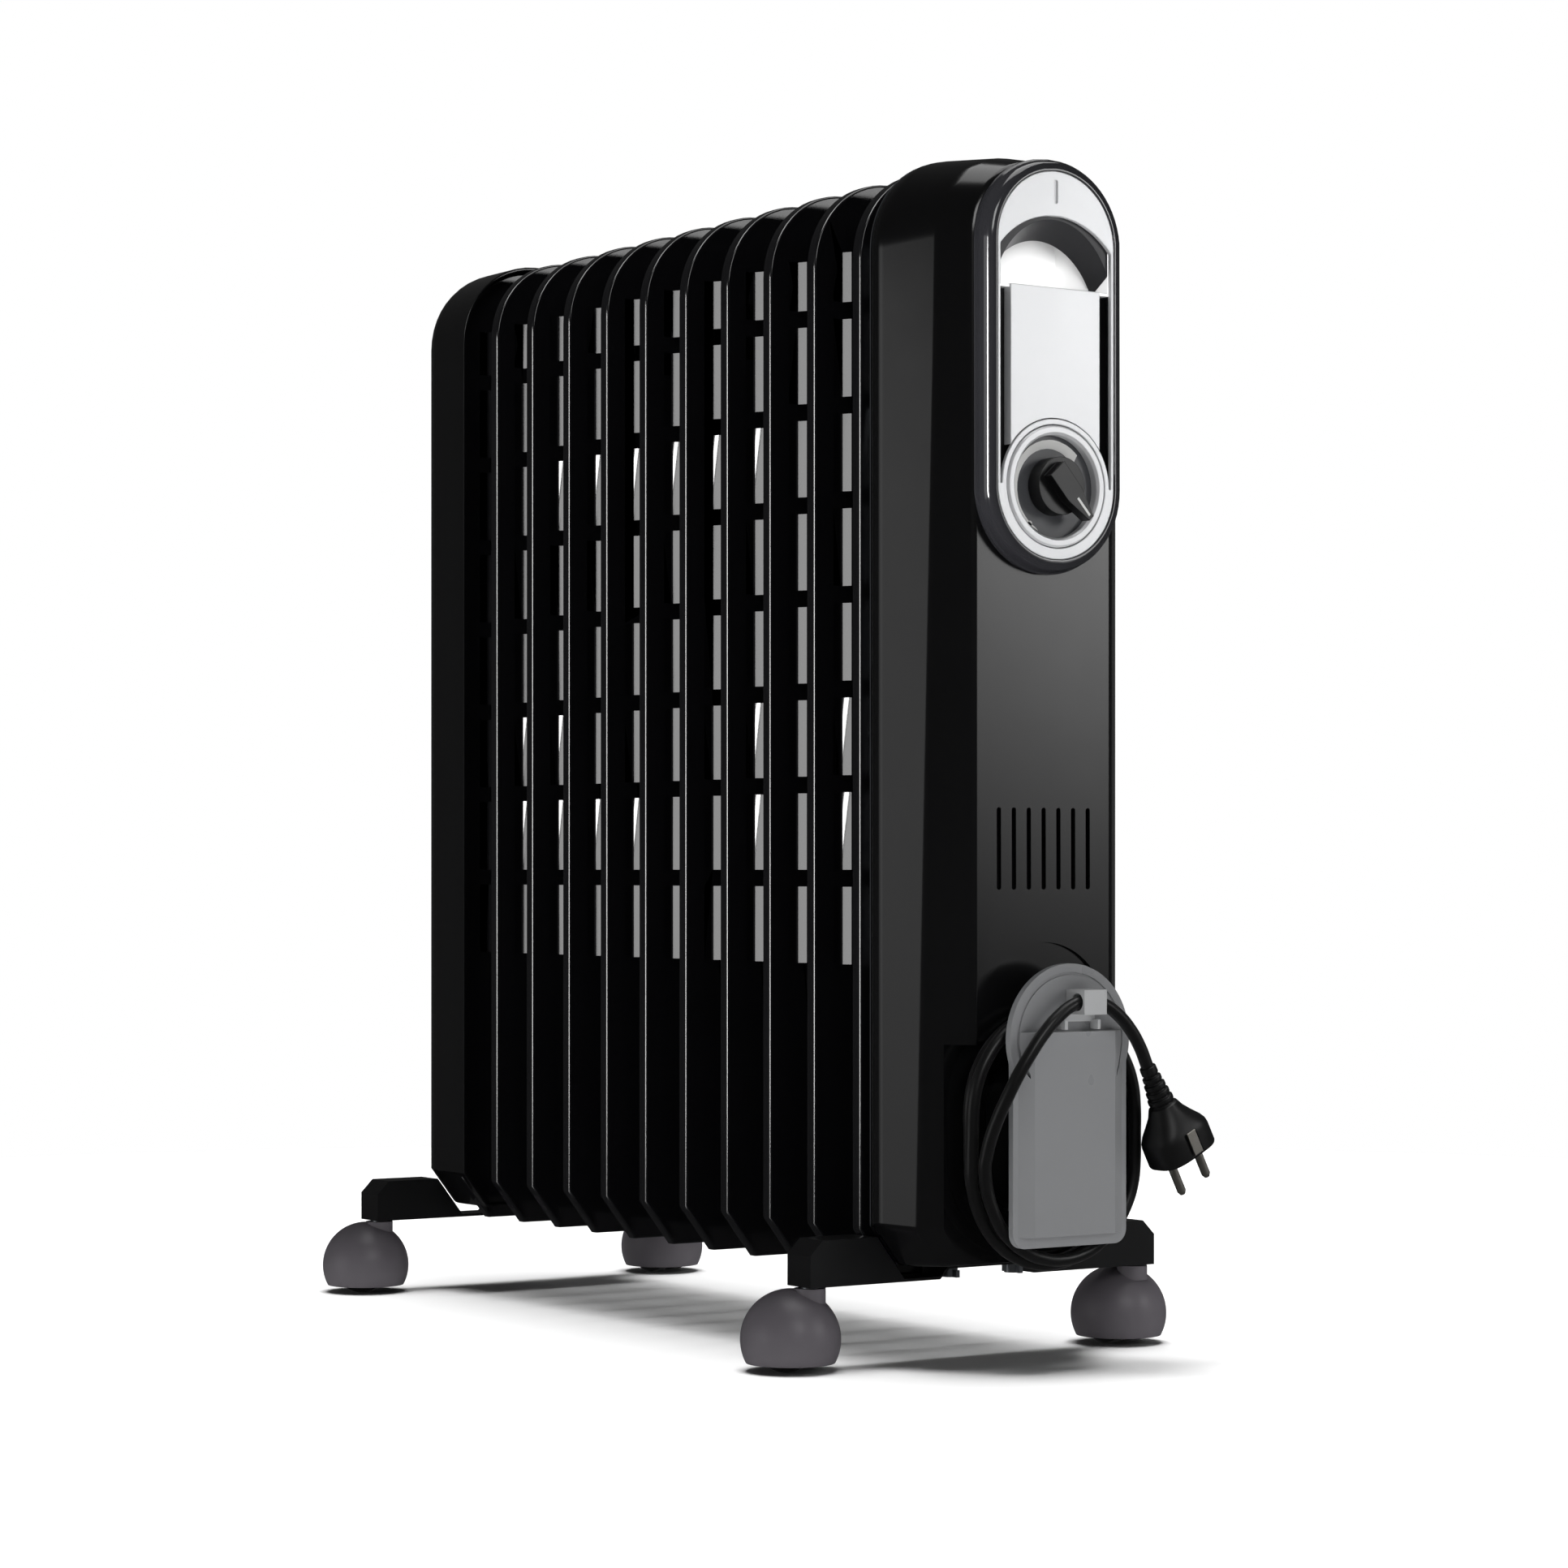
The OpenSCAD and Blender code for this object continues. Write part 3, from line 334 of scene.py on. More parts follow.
def make_materials():
    """One material for each real finish, kept under a short name."""
    colours = bpy.context.scene.heater_colours
    enamel = list(colours.enamel) + [1.0]
    cover = list(colours.cover) + [1.0]
    m = MATERIALS
    # Stove enamel on pressed steel: deep black, mirror-like, with a faint orange peel of 2 mm
    m["fin"] = surface("stove_enamel_on_steel", enamel, 0.13, 2.2, 0.05, 0.03)
    # Powder coat on steel sheet: black gloss, a slightly coarser peel that softens reflections
    m["cover"] = surface("gloss_powder_coat_on_steel", cover, 0.17, 2.8, 0.06, 0.03)
    # Satin powder coat on the feet: rougher, so the edges read grey
    m["foot"] = surface("satin_powder_coat_on_steel", "#0e0e10", 0.42, 1.4, 0.18, 0.06)
    # Smoke grey ABS, polished mould: clear vertical reflections
    m["bezel"] = surface("smoke_grey_polished_abs", "#242427", 0.12, 3.0, 0.03, 0.03, coat=0.4)
    # Carry grip: the same plastic as the silver face, given a dark grey that is painted shade for
    # its unlit underside
    m["handle"] = surface("grip_dark_grey_painted_shade", "#303033", 0.38, 0.5, 0.12, 0.05)
    m["tray"] = surface("black_moulded_abs", "#0b0b0c", 0.3, 0.6, 0.1, 0.05)
    # Silver paint on ABS: bright, fine metal flake that shows as a soft sparkle
    m["silver"] = surface("silver_painted_abs", "#dcdddf", 0.32, 0.45, 0.05, 0.04, metallic=0.25,
                          tint="#e6e7e9", coat=0.25, coat_rough=0.12)
    m["liner"] = surface("white_polished_polypropylene", "#f6f6f6", 0.2, 1.5, 0.03, 0.04,
                         tint="#fbfbfb")
    m["scale"] = surface("grey_printed_polycarbonate", "#4a4b4e", 0.35, 0.5, 0.06, 0.05)
    m["mark"] = surface("white_pad_printed_ink", "#dededc", 0.5, 0.4, 0.1, 0.05)
    m["knob"] = surface("black_satin_abs", "#0c0c0d", 0.33, 0.35, 0.12, 0.05)
    # Mid grey ABS from an etched mould: fine even grain under a soft gloss
    m["spool"] = surface("mid_grey_moulded_abs", "#88898b", 0.28, 0.6, 0.07, 0.02, tint="#8a8b8d")
    m["clip"] = surface("light_grey_moulded_abs", "#a9aaab", 0.32, 0.6, 0.07, 0.05)
    # PVC flex: near black, slightly waxy
    m["cord"] = surface("black_pvc_flex", "#09090a", 0.36, 0.8, 0.15, 0.06, sheen=0.05)
    m["plug"] = surface("black_moulded_pvc", "#0b0b0c", 0.42, 0.4, 0.2, 0.06)
    m["hood"] = surface("grey_satin_nylon", "#615d62", 0.4, 0.7, 0.12, 0.06, tint="#676369")
    m["wheel"] = surface("black_hard_nylon", "#0a0a0b", 0.45, 0.6, 0.2, 0.06)
    # Zinc plate on steel: bright, with faint blue grey patches and drawn lines along the rods
    m["zinc"] = surface("bright_zinc_plate", "#b9bcc0", 0.32, 0.35, 0.15, 0.08, metallic=1.0,
                        tint="#a7acb3", patch_mm=6)
    m["nickel"] = surface("nickel_plated_brass", "#cfccc6", 0.45, 0.3, 0.08, 0.06, metallic=1.0,
                          tint="#b7b2a8", patch_mm=5)
    m["copper"] = surface("nickelled_copper_sheath", "#b19a86", 0.35, 0.4, 0.15, 0.08,
                          metallic=1.0, patch_mm=8)
    m["phenolic"] = surface("cream_phenolic", "#cfc7b4", 0.45, 0.5, 0.15, 0.06, tint="#c4b99f")
    m["sleeve"] = surface("brown_silicone_sleeve", "#5b2f20", 0.5, 0.5, 0.2, 0.06)
    m["floor"] = surface("matt_white_studio_floor", "#f2f2f2", 0.9, 3.0, 0.02, 0.05,
                         tint="#f4f4f4", specular=0.1, patch_mm=300)


# ------------------------------------------------------------------ outlines


def panel_outline(half, top, r, bottom, slope_w, slope_h, lean=0.0, side_steps=8, arc_steps=12):
    """Points round a panel seen from the front, as (x, z): flat bottom, sloped bottom corners,
    straight sides and round top corners. lean widens the sides towards the bottom."""
    low = bottom + slope_h
    high = top - r
    right = [(half + lean - slope_w, bottom), (half + lean, low)]
    for i in range(1, side_steps):
        f = i / side_steps
        right.append((half + lean * (1 - f), low + (high - low) * f))
    for i in range(arc_steps + 1):
        a = math.radians(90 * i / arc_steps)
        right.append((half - r + r * math.cos(a), high + r * math.sin(a)))
    return right + [(-x, z) for x, z in reversed(right)]


def pill_outline(r, z0, z1, steps=24):
    """Points round an upright slot shape, as (x, z), anticlockwise from its lower right."""
    points = []
    for i in range(steps + 1):
        a = math.pi * i / steps
        points.append((r * math.cos(a), z1 + r * math.sin(a)))
    for i in range(steps + 1):
        a = math.pi + math.pi * i / steps
        points.append((r * math.cos(a), z0 + r * math.sin(a)))
    return points


def prism(name, outline, y0, y1):
    """A closed shape with one (x, z) outline from y0 to y1."""
    return lofted(name, [[(x, y, z) for x, z in outline] for y in (y0, y1)])


# ------------------------------------------------------------------ camera and stage


def make_camera():
    """A long lens low on the left, level, with its view shifted up instead of tilted."""
    data = bpy.data.cameras.new("camera")
    cam = bpy.data.objects.new("camera", data)
    bpy.context.scene.collection.objects.link(cam)
    cam.location = (-1.3009, (-1744.1 + FIRST_FIN) * MM, 0.2672)
    cam.rotation_euler = (math.radians(90), 0, math.radians(-34))
    data.sensor_width = 36
    data.sensor_fit = "HORIZONTAL"
    data.lens = 90.9522
    data.shift_y = 0.054089
    data.clip_end = 50
    bpy.context.scene.camera = cam


def aim(ob, place, target):
    ob.location = place
    ob.rotation_euler = (Vector(target) - Vector(place)).to_track_quat("-Z", "Y").to_euler()
    ob.visible_camera = False


def area(name, place, target, width, height, radiance, only_on=None):
    """A soft box that lights and is mirrored, but isn't seen itself."""
    data = bpy.data.lights.new(name, "AREA")
    data.shape = "RECTANGLE"
    data.size = width
    data.size_y = height
    data.energy = radiance * math.pi * width * height
    lamp = bpy.data.objects.new(name, data)
    bpy.context.scene.collection.objects.link(lamp)
    aim(lamp, place, target)
    if only_on:
        group = bpy.data.collections.new(name + "_lights")
        for ob in only_on:
            group.objects.link(ob)
        lamp.light_linking.receiver_collection = group


def glow(name, place, target, width, height, left, right, foot):
    """A panel whose glow runs from left to right and fades to a share of itself at its foot."""
    mat = bpy.data.materials.new(name)
    mat.use_nodes = True
    tree = mat.node_tree
    tree.nodes.clear()
    coords = add(tree, "ShaderNodeTexCoord")
    split = add(tree, "ShaderNodeSeparateXYZ", links={"Vector": (coords, "Object")})
    across = add(tree, "ShaderNodeMapRange",
                 {"interpolation_type": "SMOOTHSTEP"},
                 {"From Min": -width / 2, "From Max": width / 2, "To Min": left, "To Max": right},
                 {"Value": (split, "X")})
    up = add(tree, "ShaderNodeMapRange", {"interpolation_type": "SMOOTHSTEP"},
             {"From Min": -height / 2, "From Max": height / 2, "To Min": foot, "To Max": 1.0},
             {"Value": (split, "Y")})
    both = add(tree, "ShaderNodeMath", {"operation": "MULTIPLY"})
    tree.links.new(across.outputs["Result"], both.inputs[0])
    tree.links.new(up.outputs["Result"], both.inputs[1])
    light = add(tree, "ShaderNodeEmission", links={"Strength": (both, "Value")})
    add(tree, "ShaderNodeOutputMaterial", links={"Surface": (light, "Emission")})
    bpy.ops.object.select_all(action="DESELECT")
    bpy.ops.mesh.primitive_plane_add(size=1)
    panel = bpy.context.active_object
    panel.name = name
    panel.data.transform(Matrix.Diagonal((width, height, 1, 1)))
    panel.data.materials.append(mat)
    aim(panel, place, target)


def make_stage():
    scene = bpy.context.scene
    scene.view_settings.view_transform = "Standard"
    world = bpy.data.worlds.new("studio")
    scene.world = world
    world.use_nodes = True
    tree = world.node_tree
    tree.nodes.clear()
    path = add(tree, "ShaderNodeLightPath")
    dim = add(tree, "ShaderNodeBackground", inputs={"Color": (1, 1, 1, 1), "Strength": 0.05})
    white = add(tree, "ShaderNodeBackground", inputs={"Color": (1, 1, 1, 1), "Strength": 1.0})
    mix = add(tree, "ShaderNodeMixShader")
    tree.links.new(path.outputs["Is Camera Ray"], mix.inputs[0])
    tree.links.new(dim.outputs[0], mix.inputs[1])
    tree.links.new(white.outputs[0], mix.inputs[2])
    add(tree, "ShaderNodeOutputWorld", links={"Surface": (mix, 0)})

    bpy.ops.object.select_all(action="DESELECT")
    bpy.ops.mesh.primitive_circle_add(vertices=96, radius=1.5, fill_type="NGON",
                                      location=(0, 0, -0.0005))
    floor = bpy.context.active_object
    floor.name = "floor"
    bpy.ops.object.mode_set(mode="EDIT")
    bpy.ops.mesh.inset(thickness=0.4)
    bpy.ops.object.mode_set(mode="OBJECT")
    bpy.ops.object.transform_apply(location=True)
    floor.data.materials.append(MATERIALS["floor"])
    floor.visible_glossy = False

    heater = [ob for ob in scene.objects if ob.type in {"MESH", "CURVE"} and ob != floor]
    area("floor_wash", (0.1, 0.1, 6.0), (0, 0, 0), 3.6, 3.6, 15.0, [floor])
    area("top_soft_box", (0.3, -0.3, 2.6), (0, 0, 0), 1.6, 1.6, 2.6, heater)
    area("front_fill", (-0.6, -2.6, 1.6), (0, -0.2, 0.4), 0.8, 0.8, 5.0, heater)
    area("pocket_fill", (-0.75, -1.6, 0.5), (0, -0.25, 0.59), 0.5, 0.5, 34.0,
         [bpy.data.objects["hand_pocket"]])
    # Far panels: each flat face of the stack mirrors one tone, and the rolled edges of the
    # fins and the bezel's shoulder catch a bright line
    fins = [ob for ob in heater if ob.name.startswith("pressed_fin")]
    trims = fins + [bpy.data.objects["pod_bezel_ring"]]
    area("edge_strip", (-7.6, -2.3, 0.5), (0, 0, 0.5), 1.9, 2.6, 38.0, trims)
    area("left_bright_strip", (-8.0, 0.28, 0.5), (0, 0, 0.5), 2.3, 3.4, 5.6, fins)
    area("fin_top_box", (-0.9, -1.1, 2.6), (0, 0, 0.6), 1.2, 1.2, 8.0, fins)
    glow("left_side_panel", (-8.3, 0.28, 0.5), (0, 0, 0.5), 2.3, 3.4, 1.1, 1.2, 0.6)
    glow("left_dim_panel", (-7.56, 2.6, 0.5), (0, 0, 0.5), 2.5, 3.4, 0.6, 1.5, 0.8)
    glow("front_right_panel", (0.95, -1.62, 0.55), (0, -0.27, 0.42), 0.5, 0.9, 0.9, 8.5, 0.05)


# ------------------------------------------------------------------ fins


def make_fins():
    """Each fin's sheet rolls over into its rim, and its other edges are only broken."""
    roll = bpy.context.scene.heater_sizes.fin_edge
    for i in range(FIN_COUNT):
        node = "fin_%02d" % (i + 1)
        ob = from_frame(node, "pressed_" + node)
        y = FIRST_FIN + i * FIN_PITCH

        def rolled(edge):
            points = [v.co / MM for v in edge.verts]
            if len(edge.link_faces) != 2 or any(abs(p.y - y) > 0.05 for p in points):
                return False
            outer = all(abs(p.x) > FIN_ROLL_X or not FIN_ROLL_FOOT <= p.z <= FIN_ROLL_TOP
                        for p in points)
            return outer and edge.calc_face_angle() > 1.2

        for v in ob.data.vertices:
            x, z = abs(v.co.x / MM), v.co.z / MM
            if SLOT_X[0] < x < SLOT_X[1] and SLOT_Z[0] < z < SLOT_Z[1]:
                v.co.x += math.copysign(SLOT_SHIFT * MM, v.co.x)
        only(ob)
        bpy.ops.object.mode_set(mode="EDIT")
        select_by(ob, rolled, "EDGE")
        bpy.ops.mesh.bevel(offset=roll, segments=4, profile=0.5, affect="EDGES",
                           clamp_overlap=True)
        bpy.ops.object.mode_set(mode="OBJECT")
        soften(ob, 0.25 * MM, 1, 40)
        smooth(ob, 32)
        put(ob, "radiator", MATERIALS["fin"], (node,))


# ------------------------------------------------------------------ covers


def hollow(ob, open_side, wall):
    """Takes the open side's face off a closed form and gives what is left a wall."""
    only(ob)
    bpy.ops.object.mode_set(mode="EDIT")
    select_by(ob, open_side)
    bpy.ops.mesh.delete(type="FACE")
    bpy.ops.object.mode_set(mode="OBJECT")
    mod = ob.modifiers.new("wall", "SOLIDIFY")
    mod.thickness = wall
    mod.offset = -1
    mod.use_even_offset = True
    apply_all(ob)


def make_front_cover():
    """A folded pan with creased corners, an arch for the cord store, a hole and air slots."""
    sizes = bpy.context.scene.heater_sizes
    rear = panel_outline(77, COVER_TOP, 52, 54, 17, 22)
    neck = panel_outline(76.6, COVER_TOP - 0.3, 51.6, 54, 17, 22)
    crease = panel_outline(60, COVER_TOP - 2, 46, 55, 15, 20, lean=7)
    flat = panel_outline(46.6, COVER_TOP - 5, 42, 58, 14, 18)
    rings = [
        [(x, COVER_REAR, z) for x, z in rear],
        [(x, COVER_REAR - 8, z) for x, z in neck],
        [(x, FRONT + 14 + 8.4 * max(0.0, 560 - z) / 486, z) for x, z in crease],
        [(x, FRONT, z) for x, z in flat]]
    shell = lofted("front_cover_shell", rings)
    soften(shell, sizes.cover_crease, 4, 14)
    pocket_back = FRONT + 12
    cut(shell, prism("arch", pill_outline(44, SPOOL_Z - 20, SPOOL_Z + 60, 32),
                     FRONT - 20, pocket_back))
    cut(shell, block(-120, 120, FRONT - 20, pocket_back - 0.01, 20, SPOOL_Z + 50))
    hollow(shell, lambda f: f.normal.y > 0.99 and f.calc_center_median().y / MM > COVER_REAR - 1,
           sizes.cover_wall)
    cut(shell, prism("pod_hole", pill_outline(POD_OPENING_R, DIAL_Z, POD_TOP),
                     FRONT - 10, FRONT + 6))
    for i in range(-3, 4):
        slot = [(i * 10 + x, z) for x, z in pill_outline(1.5, SPOOL_Z + 133.5, SPOOL_Z + 174.5, 8)]
        cut(shell, prism("vent", slot, FRONT - 6, FRONT + 6))
    soften(shell, 0.5 * MM, 2, 50)
    smooth(shell, 30)
    put(shell, "radiator", MATERIALS["cover"], ("front_cover",))


def make_rear_cover():
    """A pan whose walls turn into its back through a wide round."""
    sizes = bpy.context.scene.heater_sizes
    start = FIRST_FIN + 430
    rings = [[(x, start, z) for x, z in panel_outline(77, COVER_TOP - 1, 52, 54, 17, 22)]]
    turn = 20.0
    for i in range(9):
        a = math.radians(90 * i / 8)
        inset = turn * (1 - math.cos(a))
        outline = panel_outline(77 - inset, COVER_TOP - 1 - inset * 0.8, 52 - inset,
                                54 + inset * 0.5, 17 - inset * 0.15, 22 - inset * 0.2)
        rings.append([(x, REAR_BACK - turn + turn * math.sin(a), z) for x, z in outline])
    shell = lofted("rear_cover_shell", rings)
    hollow(shell, lambda f: f.normal.y < -0.99, sizes.cover_wall)
    soften(shell, 0.5 * MM, 2, 50)
    smooth(shell, 30)
    put(shell, "radiator", MATERIALS["cover"], ("rear_cover",))


# ------------------------------------------------------------------ control pod


def make_pod():
    """The ring is a skin through slot shapes; the rest refines the frame's own pieces."""
    profile = [(POD_OPENING_R, 0), (46.6, 0), (46.6, 2.6), (45.9, 3.2), (45.5, 6.6), (45.1, 8.2),
               (44.3, 9.7), (43.0, 10.8), (41.4, 11.3), (40.0, 11.5), (39.3, 11.3),
               (POD_OPENING_R, 10.8)]
    rings = [[(x, FRONT - depth, z) for x, z in pill_outline(r, DIAL_Z, POD_TOP, 32)]
             for r, depth in profile]
    bezel = lofted("pod_bezel_ring", rings, "loop", "loop")
    smooth(bezel, 40)
    put(bezel, "radiator", MATERIALS["bezel"], ("pod_bezel",))
    m = MATERIALS
    refined("face_frame", "silver_face", "radiator", m["silver"], 0.7, 3)
    refined("fascia_strip", "blank_strip", "radiator", m["silver"], 0.4)
    refined("handle_liner", "hand_pocket", "radiator", m["liner"], 0.6, 3)
    # The grip's dark grey is painted shade under the silver arch, not a colour of its own
    refined("carry_handle", "carry_grip", "radiator", m["handle"], 0.8, 3)
    refined("dial_bezel", "dial_ring", "radiator", m["silver"], 0.3)
    refined("thermostat_knob", "thermostat_dial_knob", "knob", m["knob"], 0.7, 3)


def make_dial_marks():
    """Generic marks: a wedge that grows with the heat, and a dot for off."""
    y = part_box("dial_plate")[0].y / MM
    ink_out, ink_in = y - 0.25, y - 0.01
    outer, inner = [], []
    for i in range(WEDGE_STEPS + 1):
        f = i / WEDGE_STEPS
        a = math.radians(250 - 210 * f)
        width = 0.8 + 5.4 * f
        outer.append((WEDGE_R * math.cos(a), DIAL_Z + WEDGE_R * math.sin(a)))
        inner.append(((WEDGE_R - width) * math.cos(a), DIAL_Z + (WEDGE_R - width) * math.sin(a)))
    wedge = prism("wedge", outer + inner[::-1], ink_out, ink_in)
    dot = [(-14 + 1.4 * math.cos(t * math.tau / 20),
            DIAL_Z - 20 + 1.4 * math.sin(t * math.tau / 20)) for t in range(20)]
    marks = join("dial_marks", wedge, prism("dot", dot, ink_out, ink_in))
    put(marks, "radiator", MATERIALS["mark"])
    knob_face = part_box("thermostat_knob")[0].y / MM
    a = math.radians(-48)
    stripe = [(9.0, -0.7), (21.0, -0.7), (21.0, 0.7), (9.0, 0.7)]
    turned = [(x * math.cos(a) - z * math.sin(a), DIAL_Z + x * math.sin(a) + z * math.cos(a))
              for x, z in stripe]
    pointer = prism("knob_pointer_line", turned, knob_face - 0.05, knob_face + 0.6)
    put(pointer, "knob", MATERIALS["mark"])


# ------------------------------------------------------------------ cord store


def make_cord_store():
    """Hub, front plate and end clip, and the ribbed relief where the lead comes out."""
    m = MATERIALS
    refined("spool_core", "spool_hub", "radiator", m["tray"], 0.5)
    refined("spool_plate", "spool_front_plate", "radiator", m["spool"], 0.9, 3, 25)
    refined("cord_clip", "cord_end_clip", "radiator", m["clip"], 0.5)
    profile = [(3.9, 197), (4.1, 197.3)]
    for i in range(5):
        z = 199 + i * 3.2
        profile += [(4.05 + 0.1 * i, z), (4.4 + 0.06 * i, z + 0.4), (4.4 + 0.06 * i, z + 1.8),
                    (4.05 + 0.1 * i, z + 2.2)]
    profile += [(4.7, 216.5), (4.7, 230)]
    rings = [[(GLAND_X + r * math.cos(t * math.tau / 32),
               GLAND_Y + r * math.sin(t * math.tau / 32), z)
              for t in range(32)] for r, z in profile]
    gland = lofted("cord_strain_relief", rings)
    smooth(gland, 40)
    put(gland, "radiator", m["plug"], ("cord_gland",))


LEAD = [(22, -264.5, 197), (22.5, -264.5, 190), (26, -264.5, 182), (32, -264.5, 173),
        (38, -264.6, 163), (42, -265, 152), (44.5, -266, 140), (45.5, -267.5, 128),
        (46, -270, 116)]
TAIL = [(-50, -285.5, 108), (-50, -287.5, 118), (-49, -290.5, 128), (-47, -294, 138),
        (-44, -297.5, 148), (-39.5, -300.5, 159), (-33, -302.5, 170), (-25, -303.5, 180.5),
        (-15.5, -304, 189.5), (-5.5, -304, 195.5), (4.5, -304, 197.5), (14.5, -304, 195.5),
        (24, -304, 190), (32.5, -304, 182), (39.5, -304, 172), (44.5, -304, 161.5)]
# How the winding lies, by turns since the lead joined it: distance from the core's middle, and Y
WIND = [(0.0, 46.0, -270.0), (0.5, 50.0, -272.3), (1.0, 53.5, -274.6), (1.3, 54.0, -276.8),
        (1.6, 54.0, -281.6), (2.0, 52.4, -283.6), (2.43, 50.0, -285.5)]
WIND_START, WIND_Z = 8.0, 124.0      # the lead joins this far below the core's middle, at WIND_Z


def blend_table(table, t, column):
    """The value of a column at t, in straight lines between the rows."""
    for a, b in zip(table, table[1:]):
        if t <= b[0]:
            f = (t - a[0]) / (b[0] - a[0])
            return a[column] + (b[column] - a[column]) * f
    return table[-1][column]


def winding_points():
    """Points of the wound turns, clockwise from the right side, round the core's slot shape."""
    half_straight = 14.0
    straight = 2 * half_straight
    steps = 70
    turns = WIND[-1][0]
    points = []
    for i in range(1, steps):
        t = turns * i / steps
        r = blend_table(WIND, t, 1)
        y = blend_table(WIND, t, 2)
        around = math.tau * r + 2 * straight
        s = (t % 1.0) * around + WIND_START + (SPOOL_Z - WIND_Z)
        s = (s - half_straight + around) % around     # from the right side's lower end, going down
        half = math.pi * r
        if s < half:
            a = -s / r
            x, z = r * math.cos(a), SPOOL_Z - half_straight + r * math.sin(a)
        elif s < half + straight:
            x, z = -r, SPOOL_Z - half_straight + (s - half)
        elif s < 2 * half + straight:
            a = math.pi - (s - half - straight) / r
            x, z = r * math.cos(a), SPOOL_Z + half_straight + r * math.sin(a)
        else:
            x, z = r, SPOOL_Z + half_straight - (s - 2 * half - straight)
        points.append((x, y, z))
    return points


def make_cord():
    """One smooth curve: the lead, its turns round the core, and the tail to the plug."""
    points = LEAD + winding_points()[1:-1] + TAIL
    data = bpy.data.curves.new("mains_lead", "CURVE")
    data.dimensions = "3D"
    spline = data.splines.new("BEZIER")
    spline.bezier_points.add(len(points) - 1)
    for knot, point in zip(spline.bezier_points, points):
        knot.co = Vector(point) * MM
        knot.handle_left_type = "AUTO"
        knot.handle_right_type = "AUTO"
    data.resolution_u = 6
    data.bevel_depth = bpy.context.scene.heater_sizes.cord_diameter / 2
    data.bevel_resolution = 4
    data.use_fill_caps = True
    cord = bpy.data.objects.new("mains_lead", data)
    bpy.context.scene.collection.objects.link(cord)
    data.materials.append(MATERIALS["cord"])
    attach(cord, "radiator")
    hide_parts("cord_lead", "cord_coil", "cord_tail")


def make_plug():
    """Moulded plug on its own axis, then swung into place at the cord's end."""
    rings = []
    profile = [(4.2, 4.2, 0), (4.5, 4.5, -0.4)]
    for i in range(5):
        z = -2 - i * 4.2
        r = 4.6 + 0.62 * i
        profile += [(r, r, z), (r, r, z - 2.4), (r - 0.7, r - 0.7, z - 2.8),
                    (r - 0.6, r - 0.6, z - 3.9)]
    profile += [(8.2, 8.0, -23.5), (10.5, 9.6, -28), (13.4, 11.4, -32.5), (16.4, 13.0, -36.5),
                (18.0, 13.8, -39.5), (18.5, 14.0, -42), (18.5, 14.0, -52.8), (18.1, 13.6, -53.7),
                (17.5, 13.0, -54)]
    for a, b, z in profile:
        ring = []
        power = 2.0 if z > -28 else 2.0 + 1.2 * min(1.0, (-28 - z) / 10)
        for t in range(48):
            c, s = math.cos(t * math.tau / 48), math.sin(t * math.tau / 48)
            k = (abs(c) ** power + abs(s) ** power) ** (-1 / power)
            ring.append((a * c * k, b * s * k, z))
        rings.append(ring)
    body = lofted("plug_shell", rings)
    for y0, y1 in ((-16.2, -13.2), (13.2, 16.2)):
        cut(body, block(-4.2, 4.2, y0, y1, -53.2, -40))
    swing = Matrix.Translation(Vector(TAIL[-1]) * MM) @ Matrix.Rotation(math.radians(-27), 4, "Y")
    body.data.transform(swing)
    soften(body, 0.35 * MM, 2, 40)
    smooth(body, 35)
    put(body, "radiator", MATERIALS["plug"], ("plug_body",))
    refined("plug_contacts", "plug_prongs", "radiator", MATERIALS["nickel"], 0.25)


# ------------------------------------------------------------------ feet and castors


def make_feet():
    """The cross feet, with the folds of their sheet rounded."""
    m = MATERIALS
    for end in ("front", "rear"):
        refined(end + "_foot", end + "_cross_foot", "radiator", m["foot"], 0.8, 3)


def make_castors():
    """Each shroud rides on its swivel, and each disc on its own axle."""
    m = MATERIALS
    for corner in ("fl", "fr", "rl", "rr"):
        body = "castor_" + corner
        refined(body + "_hood", body + "_shroud", body, m["hood"], 0.5, 2, 30)
        for side in ("a", "b"):
            node = body + "_wheel_" + side
            refined(node, node + "_disc", node, m["wheel"], 0.4, 2, 30)


# ------------------------------------------------------------------ what the frame already has


def finish_frame_nodes():
    """Pieces that need no shaping only get their materials."""
    m = MATERIALS
    kept = {"back_plate": "zinc", "pod_tray": "tray", "dial_plate": "scale",
            "thermostat_shaft": "zinc", "thermostat_body": "phenolic", "safety_cutout": "nickel",
            "terminal_block": "phenolic", "wiring": "sleeve", "heating_element": "copper",
            "oil_plug": "zinc", "u_bolts": "zinc", "wing_nuts": "zinc"}
    for corner in ("fl", "fr", "rl", "rr"):
        kept["castor_%s_pins" % corner] = "zinc"
    for node, material in kept.items():
        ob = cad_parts[node]
        ob.data.materials.clear()
        ob.data.materials.append(m[material])


# ------------------------------------------------------------------ operators and panel


class HEATER_OT_materials(bpy.types.Operator):
    """Make the heater's materials and give the frame's own nodes theirs"""
    bl_idname = "heater.materials"
    bl_label = "Materials"

    def execute(self, context):
        make_materials()
        finish_frame_nodes()
        return {"FINISHED"}


class HEATER_OT_cord(bpy.types.Operator):
    """Wind the mains lead and hang its plug"""
    bl_idname = "heater.cord"
    bl_label = "Mains Lead and Plug"

    def execute(self, context):
        make_plug()
        make_cord()
        return {"FINISHED"}


class HEATER_OT_camera(bpy.types.Operator):
    """Place the camera"""
    bl_idname = "heater.camera"
    bl_label = "Camera"

    def execute(self, context):
        make_camera()
        return {"FINISHED"}


class HEATER_OT_stage(bpy.types.Operator):
    """Lay the floor and hang the soft boxes"""
    bl_idname = "heater.stage"
    bl_label = "Stage"

    def execute(self, context):
        make_stage()
        return {"FINISHED"}


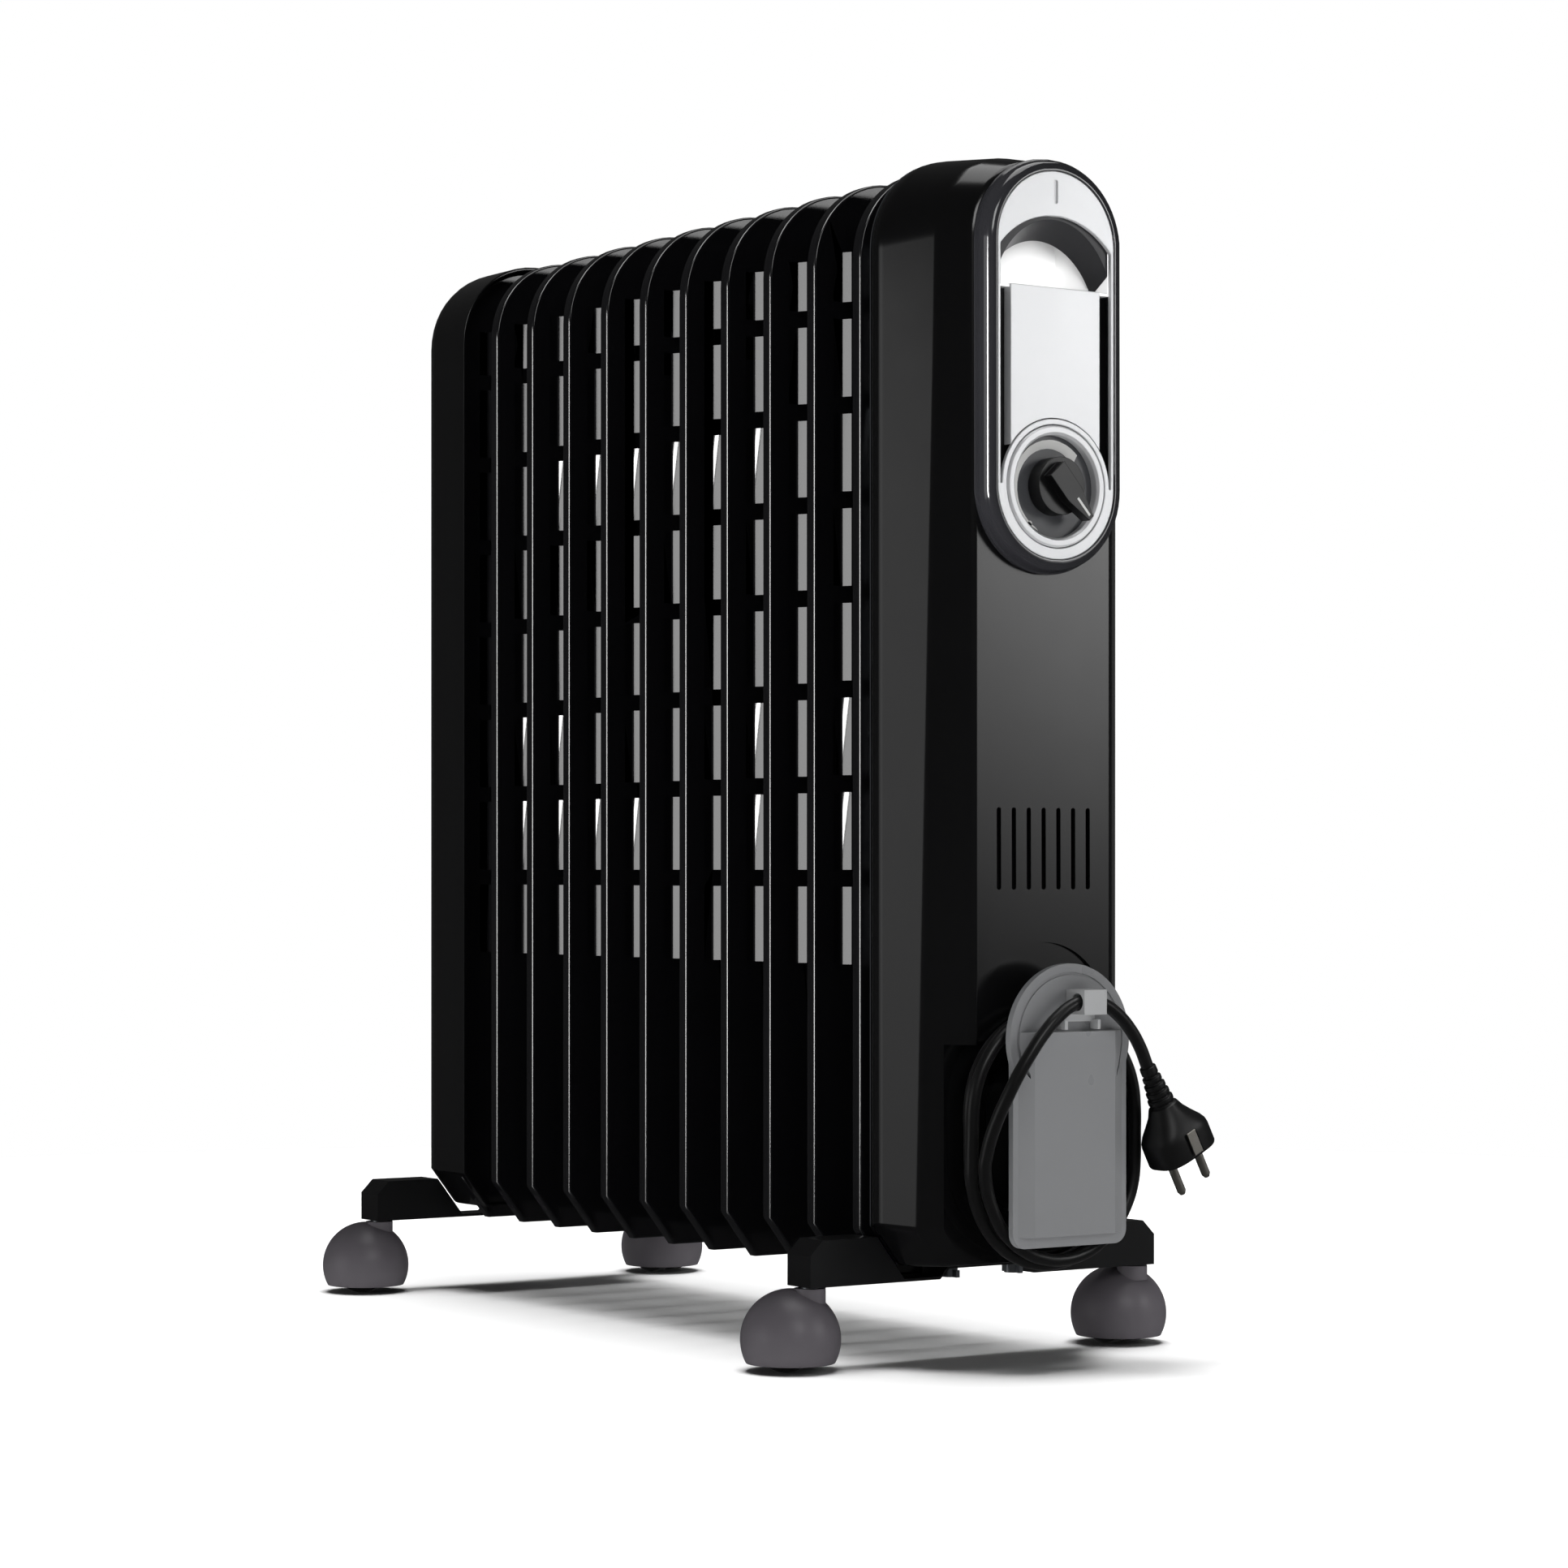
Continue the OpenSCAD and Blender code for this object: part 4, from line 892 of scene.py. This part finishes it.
class HEATER_OT_fins(bpy.types.Operator):
    """Press the fins"""
    bl_idname = "heater.fins"
    bl_label = "Fins"

    def execute(self, context):
        make_fins()
        return {"FINISHED"}


class HEATER_OT_covers(bpy.types.Operator):
    """Fold the front and rear covers"""
    bl_idname = "heater.covers"
    bl_label = "Covers"

    def execute(self, context):
        make_front_cover()
        make_rear_cover()
        return {"FINISHED"}


class HEATER_OT_pod(bpy.types.Operator):
    """Build the control pod, its dial and its knob"""
    bl_idname = "heater.pod"
    bl_label = "Control Pod"

    def execute(self, context):
        make_pod()
        make_dial_marks()
        return {"FINISHED"}


class HEATER_OT_cord_store(bpy.types.Operator):
    """Build the cord store on the front cover"""
    bl_idname = "heater.cord_store"
    bl_label = "Cord Store"

    def execute(self, context):
        make_cord_store()
        return {"FINISHED"}


class HEATER_OT_feet(bpy.types.Operator):
    """Build the cross feet and the castors"""
    bl_idname = "heater.feet"
    bl_label = "Feet and Castors"

    def execute(self, context):
        make_feet()
        make_castors()
        return {"FINISHED"}


OPERATORS = [HEATER_OT_camera, HEATER_OT_materials, HEATER_OT_cord, HEATER_OT_fins,
             HEATER_OT_covers, HEATER_OT_pod, HEATER_OT_cord_store, HEATER_OT_feet,
             HEATER_OT_stage]


class HEATER_PT_panel(bpy.types.Panel):
    """Lists the heater's sizes, colours and steps"""
    bl_label = "Heater"
    bl_idname = "HEATER_PT_panel"
    bl_space_type = "VIEW_3D"
    bl_region_type = "UI"
    bl_category = "Heater"

    def draw(self, context):
        layout = self.layout
        for group in (context.scene.heater_sizes, context.scene.heater_colours):
            for key in group.__class__.__annotations__:
                layout.prop(group, key)
        for operator in OPERATORS:
            layout.operator(operator.bl_idname)


CLASSES = [HeaterSizes, HeaterColours] + OPERATORS + [HEATER_PT_panel]


def register():
    for item in CLASSES:
        bpy.utils.register_class(item)
    bpy.types.Scene.heater_sizes = bpy.props.PointerProperty(type=HeaterSizes)
    bpy.types.Scene.heater_colours = bpy.props.PointerProperty(type=HeaterColours)


def unregister():
    del bpy.types.Scene.heater_sizes
    del bpy.types.Scene.heater_colours
    for item in reversed(CLASSES):
        bpy.utils.unregister_class(item)


def main():
    register()
    bpy.ops.heater.camera()
    bpy.ops.heater.materials()
    bpy.ops.heater.cord()
    bpy.ops.heater.fins()
    bpy.ops.heater.covers()
    bpy.ops.heater.pod()
    bpy.ops.heater.cord_store()
    bpy.ops.heater.feet()
    bpy.ops.heater.stage()


if __name__ == "__main__":
    main()
